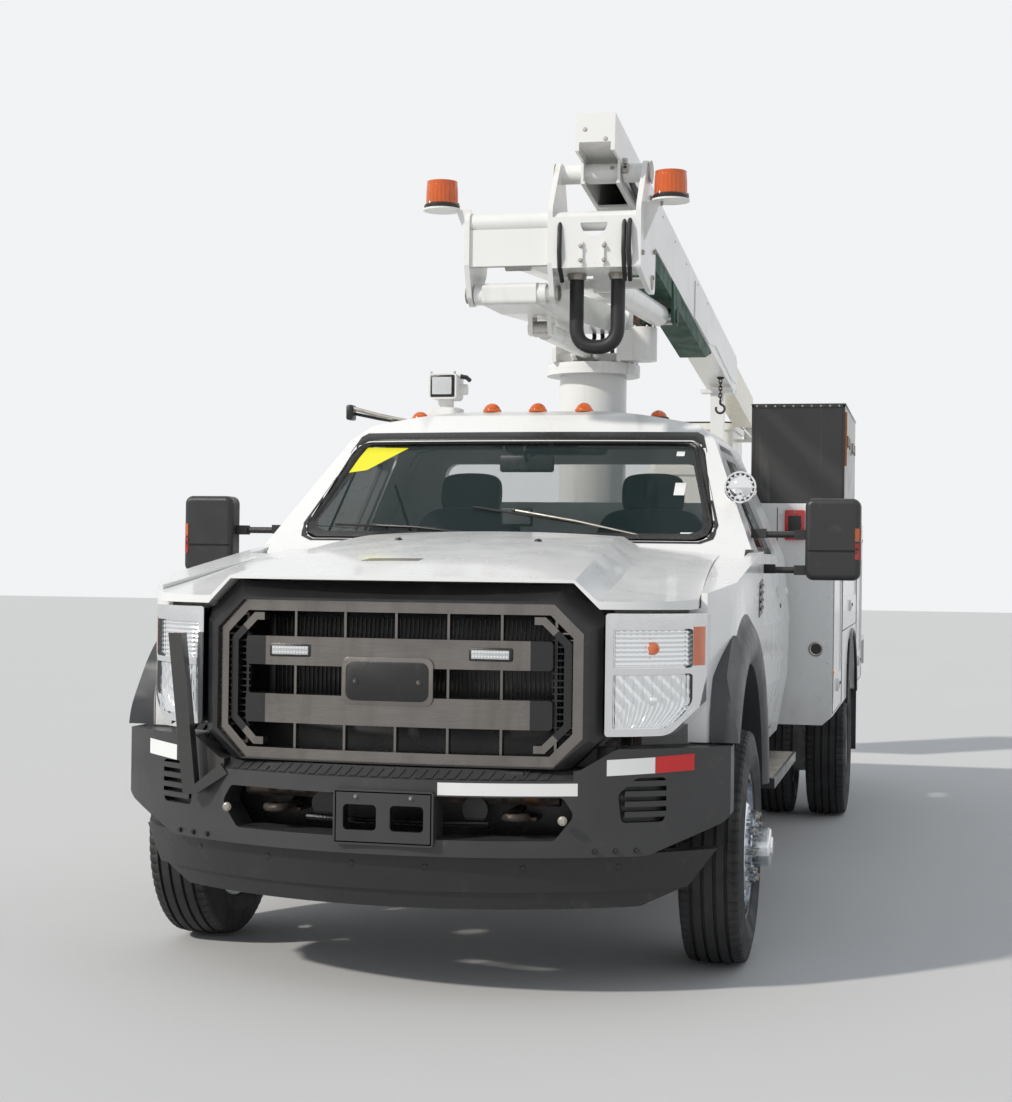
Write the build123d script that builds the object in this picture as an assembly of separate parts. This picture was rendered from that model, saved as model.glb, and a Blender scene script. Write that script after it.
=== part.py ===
from build123d import *
import os
from math import atan2, cos, degrees, hypot, radians, sin

# A cherry picker truck: a cab and chassis with twin rear wheels, a service body, and an
# elbow boom on a pedestal. Lengths are millimetres. X is across the truck, with the
# driver's side positive. Y runs rearward, and the sizes below count it from the front
# axle. Z is up from the road. The finished solids move by SHIFT_Y to centre them.

# Wheels and axles
WHEELBASE = 4191
TYRE_R = 405
TYRE_W = 225
TYRE_WALL_R = 330
RIM_R = 262
RIM_BORE_R = 236
FRONT_WHEEL_X = 940
REAR_OUTER_X = 1080
REAR_INNER_X = 790
HUB_R = 90
HAND_HOLES = 8
NUTS = 10
AXLE_R = 62
KINGPIN_X = 800
KINGPIN_R = 24

# Chassis frame
RAIL_X = 432
RAIL_FLANGE = 75
RAIL_TOP = 864
RAIL_DEPTH = 180
RAIL_GAUGE = 9
RAIL_FRONT = -650
RAIL_REAR = 6000

# Cab
CAB_FRONT = 610
CAB_BACK = 2052
SILL_Z = 640
BELT_Z = 1430
ROOF_Z = 2043
CAB_W = 1012
BELT_X = 985
ROOF_EDGE_X = 775
ROOF_EDGE_Z = 1900
ROOF_TOP_X = 700
ROOF_TOP_Z = 1965
BROW = (1190, 2030)
SCREEN_BASE = (560, 1452)
SCREEN_TOP = (1081, 1902)
SCREEN_BOW = 70
FLOOR_Z = 880
FLOOR_T = 30
TUNNEL_X = 560
WALL = 55
DOOR_T = 105
DOOR_FRONT = 690
DOOR_REAR = 1690
DOOR_SILL = 690
MIRROR_X = 1170
MIRROR_Y = 700
GLASS_T = 6
GAP = 6
LAMP_X = (0, 200, 519)
LAMP_Y = 1240

# Front end
NOSE_Y = -900
COWL_Y = 560
FENDER_X = 1015
FENDER_IN = 960
FENDER_REAR = DOOR_FRONT - 4
FLARE_X = 1050
ARCH_R = 540
ARCH_Z = 500
HOOD_X = 880
HOOD_T = 40
SPLIT_Z = 1240
COWL_GAP = 30
LAMP_BACK = -560
FLARE_R = 730
GRILLE_HALF = 655
GRILLE_LOW = 741
GRILLE_HIGH = 1315
GRILLE_CUT = 95
FACE_HALF = 606
FACE_Y = -880
BAR_H = 92
NUT_CIRCLE = 112
NUT_R = 15
RIBS = 16
SLATS = 4
STEP_X = 575
STEP_Z = 706

# Service body
BODY_FRONT = 2205
BODY_REAR = 5556
BODY_X = 1200
PACK_X = 700
PACK_BOTTOM = 654
PACK_TOP = 1680
SHEET = 28
HINGE_R = 4.5
DECK_Z = 960
DECK_T = 40
SHELF_REAR = 6080
REST_Y = 4880

# Boom
PEDESTAL_Y = 2550
PEDESTAL_R = 165
PEDESTAL_TOP = 2312
FLANGE_R = 230
SLEW_Z = 2338
TURRET_Z = 2366
LOWER_PIN = (2760, 2610)
ELBOW_PIN = (700, 2455)
LINK_DY = 120
LINK_DZ = 148
PLATE = 20
LOWER_X = 145
UPPER_PIN = (800, 2945)
UPPER_X = 350
UPPER_W = 157
UPPER_SLOPE = 5.55
UPPER_TOP = 180
UPPER_BOTTOM = -60
UPPER_BUTT = -209
UPPER_END = 4400
INNER_W = 125
INNER_TOP = 160
INNER_BOTTOM = -42
INNER_ROOT = 1500
INNER_TIP = 5680
TUBE_WALL = 10

# Hose loop and roof spotlight
HOSE_R = 29
SPOT = (-433, 1345)

# Bucket
BUCKET_X = 278
BUCKET_W = 610
BUCKET_L = 760
BUCKET_H = 1060
BUCKET_RIM = 2390
BUCKET_WALL = 8
RIM_LIP = 14
SWIVEL_X = 355
SWIVEL_Y = 6900
SWIVEL_R = 22

# Exhaust
EXHAUST_X = -230
EXHAUST_Z = 585
EXHAUST_R = 38
SILENCER_R = 95

# Front plate holder and rear hitch plate
PLATE_SPAN = 178
PLATE_HOLE_R = 3.5
HITCH_DX = 85.7
HITCH_DZ = 44.5
HITCH_Z = 640
HITCH_HOLE_R = 6.75

# Lift cylinders
LOWER_FOOT = (2330, 2420)
LOWER_LUG_ALONG = 1470
LOWER_LUG_DOWN = -108
UPPER_FOOT = (900, 2520)
UPPER_LUG_ALONG = 1627
UPPER_LUG_DOWN = -204
TIP_ALONG = INNER_TIP + 60
TIP_ABOVE = 30

# Running clearances
FIT = 0.3
CLEAR = 5

FRONT_END = -998
REAR_END = SWIVEL_Y + BUCKET_L / 2
SHIFT_Y = -(FRONT_END + REAR_END) / 2


def block(x0, x1, y0, y1, z0, z1):
    """A block between two corners."""
    middle = Pos((x0 + x1) / 2, (y0 + y1) / 2, (z0 + z1) / 2)
    return middle * Box(abs(x1 - x0), abs(y1 - y0), abs(z1 - z0))


def outline(corners):
    """A closed face through corners given as (u, v, radius)."""
    face = make_face(Polyline(*[(u, v) for u, v, r in corners], close=True))
    for u, v, r in corners:
        if r > 0:
            corner = face.vertices().sort_by_distance((u, v, 0))[0]
            face = fillet(corner, r)
    return face


def side_plate(corners, x0, x1, taper=0):
    """A plate whose outline is drawn in Y and Z, from x0 to x1."""
    face = Plane.YZ.offset(x0) * outline(corners)
    return extrude(face, x1 - x0, taper=taper)


def front_plate(corners, y0, y1):
    """A plate whose outline is drawn in X and Z, from y0 to y1."""
    face = Plane.XZ.offset(-y0) * outline(corners)
    return extrude(face, -(y1 - y0))


def floor_plate(corners, z0, z1):
    """A plate whose outline is drawn in X and Y, from z0 to z1."""
    return extrude(Plane.XY.offset(z0) * outline(corners), z1 - z0)


def rod_x(radius, x0, x1, y, z):
    """A round bar across the truck."""
    return Pos((x0 + x1) / 2, y, z) * Rot(0, 90, 0) * Cylinder(radius, abs(x1 - x0))


def rod_z(radius, x, y, z0, z1):
    """A round bar standing up."""
    return Pos(x, y, (z0 + z1) / 2) * Cylinder(radius, abs(z1 - z0))


def rod_y(radius, x, y0, y1, z):
    """A round bar along the truck."""
    return Pos(x, (y0 + y1) / 2, z) * Rot(90, 0, 0) * Cylinder(radius, abs(y1 - y0))


def other_side(part):
    """The same piece on the passenger's side."""
    return mirror(part, Plane.YZ)


def chassis_frame():
    """Two channel rails with their cross members, hangers and rear plate."""
    bottom = RAIL_TOP - RAIL_DEPTH
    rail = block(RAIL_X - RAIL_FLANGE, RAIL_X, RAIL_FRONT, RAIL_REAR, bottom, RAIL_TOP)
    rail -= block(
        RAIL_X - RAIL_FLANGE - 1, RAIL_X - RAIL_GAUGE, RAIL_FRONT - 1, RAIL_REAR + 1,
        bottom + RAIL_GAUGE, RAIL_TOP - RAIL_GAUGE,
    )
    frame = rail + other_side(rail)
    inner = RAIL_X - RAIL_GAUGE
    near_axle = (WHEELBASE - 291, WHEELBASE + 509, WHEELBASE + 1209)
    for y in (-640, 520, 1150, 2100, 3000, *near_axle, 5930):
        frame += block(-inner, inner, y, y + 60, bottom + 30, RAIL_TOP - 30)
    # rear plate for a tow hook, with its four bolt holes
    plate = block(-RAIL_X, RAIL_X, RAIL_REAR, RAIL_REAR + 16, 560, RAIL_TOP)
    for x in (-HITCH_DX / 2, HITCH_DX / 2):
        for z in (HITCH_Z - HITCH_DZ / 2, HITCH_Z + HITCH_DZ / 2):
            plate -= rod_y(HITCH_HOLE_R, x, RAIL_REAR - 1, RAIL_REAR + 17, z)
    # exhaust pipe with its silencer, hung from the cross members
    frame += rod_y(EXHAUST_R, EXHAUST_X, 540, 3400, EXHAUST_Z)
    frame += rod_y(SILENCER_R, EXHAUST_X, 2250, 2900, EXHAUST_Z)
    for y in (540, 1160, 2110, 3010):
        frame += block(EXHAUST_X - 15, EXHAUST_X + 15, y, y + 30, EXHAUST_Z, bottom + 60)
    return frame + plate


def tyre(x, y):
    """One tyre: a crowned tread, bulged walls and a bead on the rim."""
    half = TYRE_W / 2
    profile = outline([
        (RIM_R, -half + 22, 8), (TYRE_WALL_R, -half, 40), (TYRE_R - 18, -half + 14, 20),
        (TYRE_R, -half + 40, 0), (TYRE_R, half - 40, 0),
        (TYRE_R - 18, half - 14, 20), (TYRE_WALL_R, half, 40), (RIM_R, half - 22, 8),
    ])
    ring = revolve(Plane.XY * profile, Axis.Y)
    return Pos(x, y, TYRE_R) * Rot(0, 0, -90) * ring


def rim(x, y, face):
    """A wheel: a drum with a coned disc whose hub face lies at face from its middle."""
    out = 1 if face > 0 else -1
    half = TYRE_W / 2 - 24
    drum = rod_x(RIM_R - FIT, x - half, x + half, y, TYRE_R)
    drum -= rod_x(RIM_BORE_R, x - half - 1, x + half + 1, y, TYRE_R)
    profile = Polyline(
        (0, face), (NUT_CIRCLE + 30, face), (RIM_BORE_R - 40, face - out * 55),
        (RIM_BORE_R + 5, face - out * 60), (RIM_BORE_R + 5, face - out * 74),
        (RIM_BORE_R - 46, face - out * 69),
        (NUT_CIRCLE + 24, face - out * 14), (0, face - out * 14), close=True,
    )
    disc = Pos(x, y, TYRE_R) * Rot(0, 0, -90) * revolve(Plane.XY * make_face(profile), Axis.Y)
    for k in range(HAND_HOLES):
        turn = radians(360 / HAND_HOLES * (k + 0.5))
        disc -= rod_x(
            22, x + face - out * 100, x + face + out, y + 172 * cos(turn), TYRE_R + 172 * sin(turn)
        )
    return drum + disc


def wheel_nuts(x0, x1, y):
    """The ring of wheel nuts round a hub."""
    nuts = []
    for k in range(NUTS):
        turn = radians(360 / NUTS * k)
        place = Pos((x0 + x1) / 2, y + NUT_CIRCLE * cos(turn), TYRE_R + NUT_CIRCLE * sin(turn))
        nuts.append(place * Rot(0, 90, 0) * extrude(RegularPolygon(NUT_R, 6), abs(x1 - x0) / 2, both=True))
    return nuts


def front_rim(x):
    """The front wheel with its nuts and hub, and a bore for the stub axle."""
    out = 1 if x > 0 else -1
    wheel = rim(x, 0, out * 95)
    hub = rod_x(HUB_R, x - out * 40, x + out * 110, 0, TYRE_R)
    hub += rod_x(HUB_R - 22, x + out * 109, x + out * 165, 0, TYRE_R)
    hub -= rod_x(AXLE_R / 2 + FIT, x - out * 41, x + out * 60, 0, TYRE_R)
    wheel += hub
    for nut in wheel_nuts(x + out * 94, x + out * 122, 0):
        wheel += nut
    return wheel


def rear_rims(side):
    """The twin rear wheels and their hub."""
    outer = rim(side * REAR_OUTER_X, WHEELBASE, -side * 20)
    inner = rim(side * REAR_INNER_X, WHEELBASE, side * 20)
    hub = rod_x(HUB_R, side * (REAR_INNER_X + 5), side * (REAR_OUTER_X + 5), WHEELBASE, TYRE_R)
    hub += rod_x(HUB_R - 12, side * REAR_OUTER_X, side * (REAR_OUTER_X + 70), WHEELBASE, TYRE_R)
    spacer = rod_x(
        HUB_R + 80, side * (REAR_INNER_X + 80), side * (REAR_OUTER_X - 80), WHEELBASE, TYRE_R
    )
    wheel = outer + inner + hub + spacer
    for nut in wheel_nuts(side * (REAR_OUTER_X - 21), side * (REAR_OUTER_X + 8), WHEELBASE):
        wheel += nut
    return wheel - rod_x(
        AXLE_R + FIT, side * (REAR_INNER_X - 120), side * (REAR_OUTER_X - 40), WHEELBASE, TYRE_R
    )


def front_axle():
    """A driven beam axle with its knuckle yokes, springs and steering link."""
    beam = rod_x(AXLE_R, -KINGPIN_X + 60, KINGPIN_X - 60, 0, TYRE_R)
    beam += Pos(180, 0, TYRE_R) * Sphere(150)
    for side in (-1, 1):
        x = side * KINGPIN_X
        yoke = block(x - side * 90, x - side * 50, -60, 60, TYRE_R - 130, TYRE_R + 130)
        yoke += block(x - side * 90, x + side * 35, -45, 45, TYRE_R + 100, TYRE_R + 130)
        yoke += block(x - side * 90, x + side * 35, -45, 45, TYRE_R - 130, TYRE_R - 100)
        yoke += rod_z(KINGPIN_R, x, 0, TYRE_R - 110, TYRE_R + 110)
        beam += yoke
        # coil spring tower up to the rail
        beam += rod_z(60, side * 395, 0, TYRE_R + 40, RAIL_TOP - RAIL_DEPTH - FIT)
    return beam


def knuckle(side):
    """The steering knuckle on its kingpin, with the stub axle."""
    x = side * KINGPIN_X
    body = rod_z(42, x, 0, TYRE_R - 99.5, TYRE_R + 99.5)
    body += rod_x(48, x, x + side * 90, 0, TYRE_R)
    body += rod_x(AXLE_R / 2, x, side * (FRONT_WHEEL_X + 55), 0, TYRE_R)
    # the steering arm starts outside the kingpin, so that it clears the yoke at full lock
    body += block(x, x + side * 40, 30, 190, TYRE_R - 60, TYRE_R - 30)
    return body - rod_z(KINGPIN_R + FIT, x, 0, TYRE_R - 140, TYRE_R + 140)


def rear_axle():
    """The banjo axle, its leaf springs and the drive shaft."""
    axle = rod_x(AXLE_R, -(REAR_OUTER_X - 60), REAR_OUTER_X - 60, WHEELBASE, TYRE_R)
    axle += Pos(0, WHEELBASE, TYRE_R) * Sphere(190)
    axle += rod_y(45, 0, 1200, WHEELBASE - 100, TYRE_R + 60)
    for side in (-1, 1):
        x = side * 540
        leaf = side_plate([
            (WHEELBASE - 760, 700, 0), (WHEELBASE, 470, 0), (WHEELBASE + 760, 700, 0),
            (WHEELBASE + 760, 740, 0), (WHEELBASE, 560, 0), (WHEELBASE - 760, 740, 0),
        ], x - 38, x + 38)
        axle += leaf
        axle += block(x - 50, x + 50, WHEELBASE - 70, WHEELBASE + 70, TYRE_R - 70, 500)
        for end in (-760, 760):
            y = WHEELBASE + end
            hanger = block(
                side * (RAIL_X + FIT), x + side * 38, y - 40, y + 40, 690, 790
            )
            axle += hanger
    return axle


def fuel_tank():
    """The tank between the rails behind the axle line."""
    tank = block(-300, 300, WHEELBASE + 709, WHEELBASE + 1139, 470, 800)
    tank = fillet(tank.edges().filter_by(Axis.X), 40)
    # straps to the rails
    inner = RAIL_X - RAIL_GAUGE - FIT
    for y in (WHEELBASE + 789, WHEELBASE + 1029):
        tank += block(-inner, inner, y, y + 40, 730, 750)
    return tank


def engine_block():
    """The engine as one plain block on the frame."""
    inner = RAIL_X - RAIL_GAUGE - FIT
    return block(-300, 300, -420, 480, 600, 1150) + block(-inner, inner, 20, 110, 740, 790)


CAB_SECTION = [
    # x, z of the cab's outside, from sill to roof edge
    (960, SILL_Z), (1005, 900), (CAB_W, 1150), (BELT_X, BELT_Z),
    (ROOF_EDGE_X, ROOF_EDGE_Z), (ROOF_TOP_X, ROOF_TOP_Z),
]


def cab_section(inset):
    """The cab's cross section, drawn in X and Z, set in by a wall's thickness."""
    right = [(x - inset, z) for x, z in CAB_SECTION[:-1]]
    right.append((ROOF_TOP_X - inset / 2, ROOF_TOP_Z - inset))
    right[0] = (right[0][0], SILL_Z + inset)
    left = [(-x, z) for x, z in reversed(right)]
    roof = ThreePointArc(left[0], (0, ROOF_Z - inset), right[-1])
    return make_face(roof + Polyline(*left) + Line(left[-1], right[0]) + Polyline(*right))


def screen_prism(inset):
    """Everything behind the curved windscreen, set back by inset."""
    run = (SCREEN_TOP[0] - SCREEN_BASE[0]) / (SCREEN_TOP[1] - SCREEN_BASE[1])
    z0 = BELT_Z - 200
    y0 = SCREEN_BASE[0] - run * (SCREEN_BASE[1] - z0) + inset
    front = ThreePointArc((-1200, y0 + SCREEN_BOW), (0, y0 - SCREEN_BOW), (1200, y0 + SCREEN_BOW))
    back = Polyline(
        (1200, y0 + SCREEN_BOW), (1200, y0 + 3000), (-1200, y0 + 3000), (-1200, y0 + SCREEN_BOW)
    )
    base = Plane.XY.offset(z0) * make_face(front + back)
    return extrude(base, hypot(900, 900 * run), dir=(0, run, 1))


def cab_solid(inset, side_corners):
    """The cab's body: its cross section cut to its side outline and screen."""
    long_solid = extrude(Plane.XZ.offset(-300) * cab_section(inset), -2500)
    body = long_solid & side_plate(side_corners, -1300, 1300)
    low = block(-1300, 1300, CAB_FRONT, 3000, 0, BELT_Z - 30)
    return (body & low) + (body & screen_prism(inset))


def cab_side(inset):
    """The cab's side outline, set in by a wall's thickness."""
    w = inset
    return [
        (CAB_FRONT + w, SILL_Z + w, 0), (CAB_FRONT + w, BELT_Z - 60, 0),
        (400, BELT_Z - 60, 0), (400, 1900 - w, 0), (BROW[0] - 130, BROW[1] - 75 - w, 0),
        (BROW[0], BROW[1] - w, 200), (BROW[0] + 400, ROOF_Z + 10 - w, 400),
        (CAB_BACK - w, ROOF_Z - 5 - w, 60), (CAB_BACK - w, SILL_Z + w, 0),
    ]


def door_outline(grow):
    """The door's edge, drawn in Y and Z, larger or smaller by grow."""
    g = grow
    return [
        (DOOR_FRONT - g, DOOR_SILL - g, 30), (DOOR_FRONT - g, BELT_Z - 10, 0),
        (1180 - g, 1880 + g, 40), (DOOR_REAR - 40 + g, 1880 + g, 60),
        (DOOR_REAR + g, BELT_Z, 0), (DOOR_REAR + g, DOOR_SILL - g, 60),
    ]


def window_outline(grow):
    """The door window's edge, drawn in Y and Z."""
    g = grow
    return [
        (DOOR_FRONT + 110 - g, BELT_Z + 5 - g, 20), (1205 - g, 1825 + g, 30),
        (DOOR_REAR - 95 + g, 1825 + g, 40), (DOOR_REAR - 70 + g, BELT_Z + 5 - g, 20),
    ]


def cab_walls():
    """The cab as a hollow body before its openings are cut."""
    outside = cab_solid(0, cab_side(0))
    hollow = cab_solid(WALL, cab_side(WALL))
    # the lower side walls are as thick as the doors
    for side in (-1, 1):
        hollow -= block(
            side * (BELT_X - DOOR_T), side * 1300, CAB_FRONT - 200, CAB_BACK, 0, BELT_Z - 20
        )
    return outside - hollow


def screen_cut(grow):
    """The windscreen's opening as a slanted prism."""
    g = grow
    corners = [
        (-840 - g, 1475 - g, 60), (-735 - g, 1890 + g, 80),
        (735 + g, 1890 + g, 80), (840 + g, 1475 - g, 60),
    ]
    return front_plate(corners, 300, 1250)


def rear_window_cut(grow):
    """The rear window's opening."""
    g = grow
    corners = [
        (-620 - g, 1460 - g, 50), (-600 - g, 1850 + g, 60),
        (600 + g, 1850 + g, 60), (620 + g, 1460 - g, 50),
    ]
    return front_plate(corners, CAB_BACK - 200, CAB_BACK + 100)


def cab_shell(walls):
    """The cab's fixed body: floor, back, roof and pillars."""
    shell = walls - screen_cut(0) - rear_window_cut(0)
    opening = side_plate(door_outline(GAP), 500, 1300)
    shell = shell - opening - other_side(opening)
    # the frame passes under the floor, and the fenders lap over the front corners
    shell -= block(-TUNNEL_X, TUNNEL_X, 500, 2200, 0, FLOOR_Z)
    for side in (-1, 1):
        shell -= block(side * (FENDER_IN - GAP), side * 1300, 300, FENDER_REAR + GAP, 0, BELT_Z + 16)
    wide = TUNNEL_X + FLOOR_T / 2
    floor = block(-wide, wide, CAB_FRONT, CAB_BACK - 5, SILL_Z, FLOOR_Z + FLOOR_T)
    floor -= block(-TUNNEL_X, TUNNEL_X, CAB_FRONT - 1, CAB_BACK, SILL_Z - 1, FLOOR_Z)
    # rubber mounts between the floor and the frame
    for x in (-RAIL_X + 40, RAIL_X - 40):
        for y in (CAB_FRONT + 60, CAB_BACK - 200):
            floor += rod_z(36, x, y, RAIL_TOP + FIT, FLOOR_Z + 1)
    return shell + floor


def cab_glass():
    """The windscreen and the rear window in their openings."""
    skin = cab_solid(15, cab_side(15)) - cab_solid(15 + GLASS_T, cab_side(15 + GLASS_T))
    return (skin & screen_cut(-FIT)) + (skin & rear_window_cut(-FIT))


def cab_door(walls):
    """The driver's door, as thick as the wall, its edges tapered like a plug."""
    plug = extrude(
        Plane.YZ.offset(1300) * outline(door_outline(15)), -900, taper=4.0
    )
    door = (walls & plug) & block(0, 1300, 0, 3000, 0, 3000)
    # hinge leaves at the front edge, inside the fender
    for z in (880, 1280):
        door += block(
            BELT_X - DOOR_T + 12, FENDER_IN - 12, DOOR_FRONT - GAP + FIT, DOOR_FRONT + 30, z, z + 70
        )
    # pull handle under the window
    handle = block(CAB_W - 12, CAB_W + 24, DOOR_REAR - 190, DOOR_REAR - 50, 1262, 1296)
    handle = fillet(handle.edges().filter_by(Axis.Y), 10)
    handle -= block(CAB_W + 2, CAB_W + 12, DOOR_REAR - 165, DOOR_REAR - 75, 1240, 1320)
    door += handle
    return door - side_plate(window_outline(0), 500, 1300)


def door_glass():
    """The driver's side window."""
    skin = cab_solid(18, cab_side(0)) - cab_solid(18 + GLASS_T, cab_side(0))
    return skin & side_plate(window_outline(-FIT), 500, 1300)


def mirror_head():
    """The driver's tow mirror: two heads in one housing on two sliding arms."""
    head = block(MIRROR_X, MIRROR_X + 210, MIRROR_Y, MIRROR_Y + 90, 1332, 1647)
    head = fillet(head.edges().filter_by(Axis.Y), 32)
    head = fillet(head.faces().sort_by(Axis.Y)[0].edges(), 22)
    # the split between the flat mirror and the round one below it
    head -= block(MIRROR_X + 12, MIRROR_X + 198, MIRROR_Y + 84, MIRROR_Y + 91, 1450, 1633)
    head -= block(MIRROR_X + 12, MIRROR_X + 198, MIRROR_Y + 84, MIRROR_Y + 91, 1346, 1438)
    head -= block(MIRROR_X - 1, MIRROR_X + 211, MIRROR_Y - 1, MIRROR_Y + 8, 1440, 1448)
    # inner ends of the arms on the door's skin
    for z, x in ((1508, 956.8), (1370, 992.4)):
        head += floor_plate([
            (x, MIRROR_Y + 74, 0), (x + 60, MIRROR_Y + 60, 0), (x + 60, MIRROR_Y + 100, 0),
            (x, MIRROR_Y + 112, 0),
        ], z - 14, z + 22)
        head += rod_x(13, x + 50, MIRROR_X + 30, MIRROR_Y + 78, z)
        head += block(MIRROR_X - 45, MIRROR_X + 40, MIRROR_Y + 58, MIRROR_Y + 96, z - 19, z + 19)
    return head


def bench_seats():
    """Two seats with backs and head rests on one base."""
    seats = None
    for x in (-420, 420):
        seat = block(x - 260, x + 260, 1130, 1660, FLOOR_Z + FLOOR_T + FIT, 1080)
        back = side_plate([
            (1560, 1060, 30), (1660, 1060, 30), (1800, 1620, 30), (1690, 1620, 30),
        ], x - 250, x + 250)
        rest = side_plate([
            (1715, 1600, 20), (1800, 1600, 20), (1820, 1780, 30), (1730, 1780, 30),
        ], x - 130, x + 130)
        seat = seat + back + rest
        seats = seat if seats is None else seats + seat
    return seats


def dashboard():
    """The dash with the steering wheel and column."""
    dash = side_plate([
        (700, 1050, 40), (700, 1440, 20), (800, 1450, 40), (930, 1380, 40), (900, 1050, 40),
    ], -860, 860)
    wheel = Pos(420, 1010, 1330) * Rot(-65, 0, 0) * Torus(185, 15)
    spokes = Pos(420, 1010, 1330) * Rot(-65, 0, 0) * (Box(370, 40, 16) + Cylinder(55, 40))
    column = Pos(420, 935, 1290) * Rot(-65, 0, 0) * Cylinder(35, 150)
    firewall = block(-400, 400, CAB_FRONT + WALL + FIT, 710, 1060, 1300)
    return dash + wheel + spokes + column + firewall


def front_plan(inset):
    """The front end seen from above, drawn in X and Y, as a closed face."""
    w = inset
    a = ThreePointArc((-955 + w, -540), (-830 + w * 0.8, -735 + w * 0.8), (-640, -845 + w))
    b = ThreePointArc((-640, -845 + w), (0, -905 + w), (640, -845 + w))
    c = ThreePointArc((640, -845 + w), (830 - w * 0.8, -735 + w * 0.8), (955 - w, -540))
    d = Polyline((955 - w, -540), (FENDER_X - w, -300), (FENDER_X - w, 700))
    e = Polyline((FENDER_X - w, 700), (-FENDER_X + w, 700), (-FENDER_X + w, -300), (-955 + w, -540))
    return make_face(a + b + c + d + e)


def plan_solid(inset, z0, z1):
    """The front end's plan outline from z0 to z1."""
    return extrude(Plane.XY.offset(z0) * front_plan(inset), z1 - z0)


HOOD_SECTIONS = [
    # y, half width, edge height, middle height
    (-960, HOOD_X + 60, 1240, 1262),
    (-700, HOOD_X + 50, 1262, 1302),
    (-100, HOOD_X + 10, 1345, 1392),
    (COWL_Y, HOOD_X - 15, 1430, 1480),
]
DOME_SECTIONS = [
    # y, half width at the foot and at the shoulder, foot height, shoulder height, middle height
    (-960, 668, 578, 1225, 1316, 1326),
    (-700, 662, 560, 1262, 1352, 1370),
    (-100, 640, 530, 1352, 1432, 1452),
    (COWL_Y, 600, 490, 1434, 1492, 1508),
]


def hood_mass(drop, spread, base):
    """The bonnet's volume, lofted through its sections, down to base."""
    faces = []
    for y, half, edge, middle in HOOD_SECTIONS:
        w = half + spread
        top = ThreePointArc((-w, edge - drop), (0, middle - drop), (w, edge - drop))
        rest = Polyline((w, edge - drop), (w, base), (-w, base), (-w, edge - drop))
        faces.append(Plane.XZ.offset(-y) * make_face(top + rest))
    return loft(faces)


def dome_mass(drop, base):
    """The raised middle of the bonnet, over the grille and back to the cowl."""
    faces = []
    for y, foot, shoulder, low, high, middle in DOME_SECTIONS:
        a, b = foot - drop, shoulder - drop / 2
        top = ThreePointArc((-b, high - drop), (0, middle - drop), (b, high - drop))
        rest = Polyline(
            (b, high - drop), (a, low - drop), (a, base), (-a, base), (-a, low - drop), (-b, high - drop)
        )
        faces.append(Plane.XZ.offset(-y) * make_face(top + rest))
    return loft(faces)


def under_split(drop):
    """Everything under the line where bonnet and fenders part."""
    return side_plate([
        (-1100, 0, 0), (-1100, SPLIT_Z - drop, 0), (-640, SPLIT_Z - drop, 0),
        (-100, SPLIT_Z + 66 - drop, 0), (700, SPLIT_Z + 168 - drop, 0), (700, 0, 0),
    ], -1300, 1300)


def hood():
    """The bonnet: a shell with a nose that drops round the grille."""
    outside = (hood_mass(0, 0, 1100) + dome_mass(0, 1100)) & plan_solid(0, 1000, 1700)
    inside = hood_mass(HOOD_T, -HOOD_T, 1000) + dome_mass(HOOD_T, 1000)
    inside &= plan_solid(HOOD_T, 900, 1700)
    shell = outside - inside - under_split(0) - screen_prism(-COWL_GAP)
    opening = grille_outline(GRILLE_HALF + GAP, 700, GRILLE_HIGH + GAP, GRILLE_CUT)
    return shell - front_plate(opening, -1200, LAMP_BACK)


def fender_region(drop, inset):
    """The front end's volume up to the top of the fenders."""
    corners = [
        (-1000, 600, 0), (-1000, 1262 - drop, 0), (-700, 1275 - drop, 0),
        (-100, 1352 - drop, 0), (COWL_Y, 1432 - drop, 0), (FENDER_REAR, 1440 - drop, 0),
        (FENDER_REAR, 600, 0),
    ]
    return side_plate(corners, -1300, 1300) & plan_solid(inset, 500, 1600)


def wheel_flare():
    """The bulged plastic flare round the driver's front wheel arch."""
    lip = FLARE_X - 18
    wall = Line((ARCH_R, FENDER_IN), (ARCH_R, lip)) + ThreePointArc(
        (ARCH_R, lip), (ARCH_R + 45, FLARE_X), (FLARE_R - 40, FENDER_X + 12)
    )
    wall += Polyline((FLARE_R - 40, FENDER_X + 12), (FLARE_R, FENDER_X - 8), (FLARE_R, FENDER_IN))
    wall += Line((FLARE_R, FENDER_IN), (ARCH_R, FENDER_IN))
    ring = revolve(Plane.XY * make_face(wall), Axis.Y)
    ring = Pos(0, 0, ARCH_Z) * Rot(0, 0, -90) * ring
    keep = side_plate([
        (LAMP_BACK + 12, 812, 0), (LAMP_BACK + 12, 900, 0), (-440, 1260, 0), (FENDER_REAR, 1260, 0),
        (FENDER_REAR, 560, 0), (300, 560, 0), (300, 812, 0),
    ], FENDER_IN, 1200)
    return ring & keep


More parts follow.
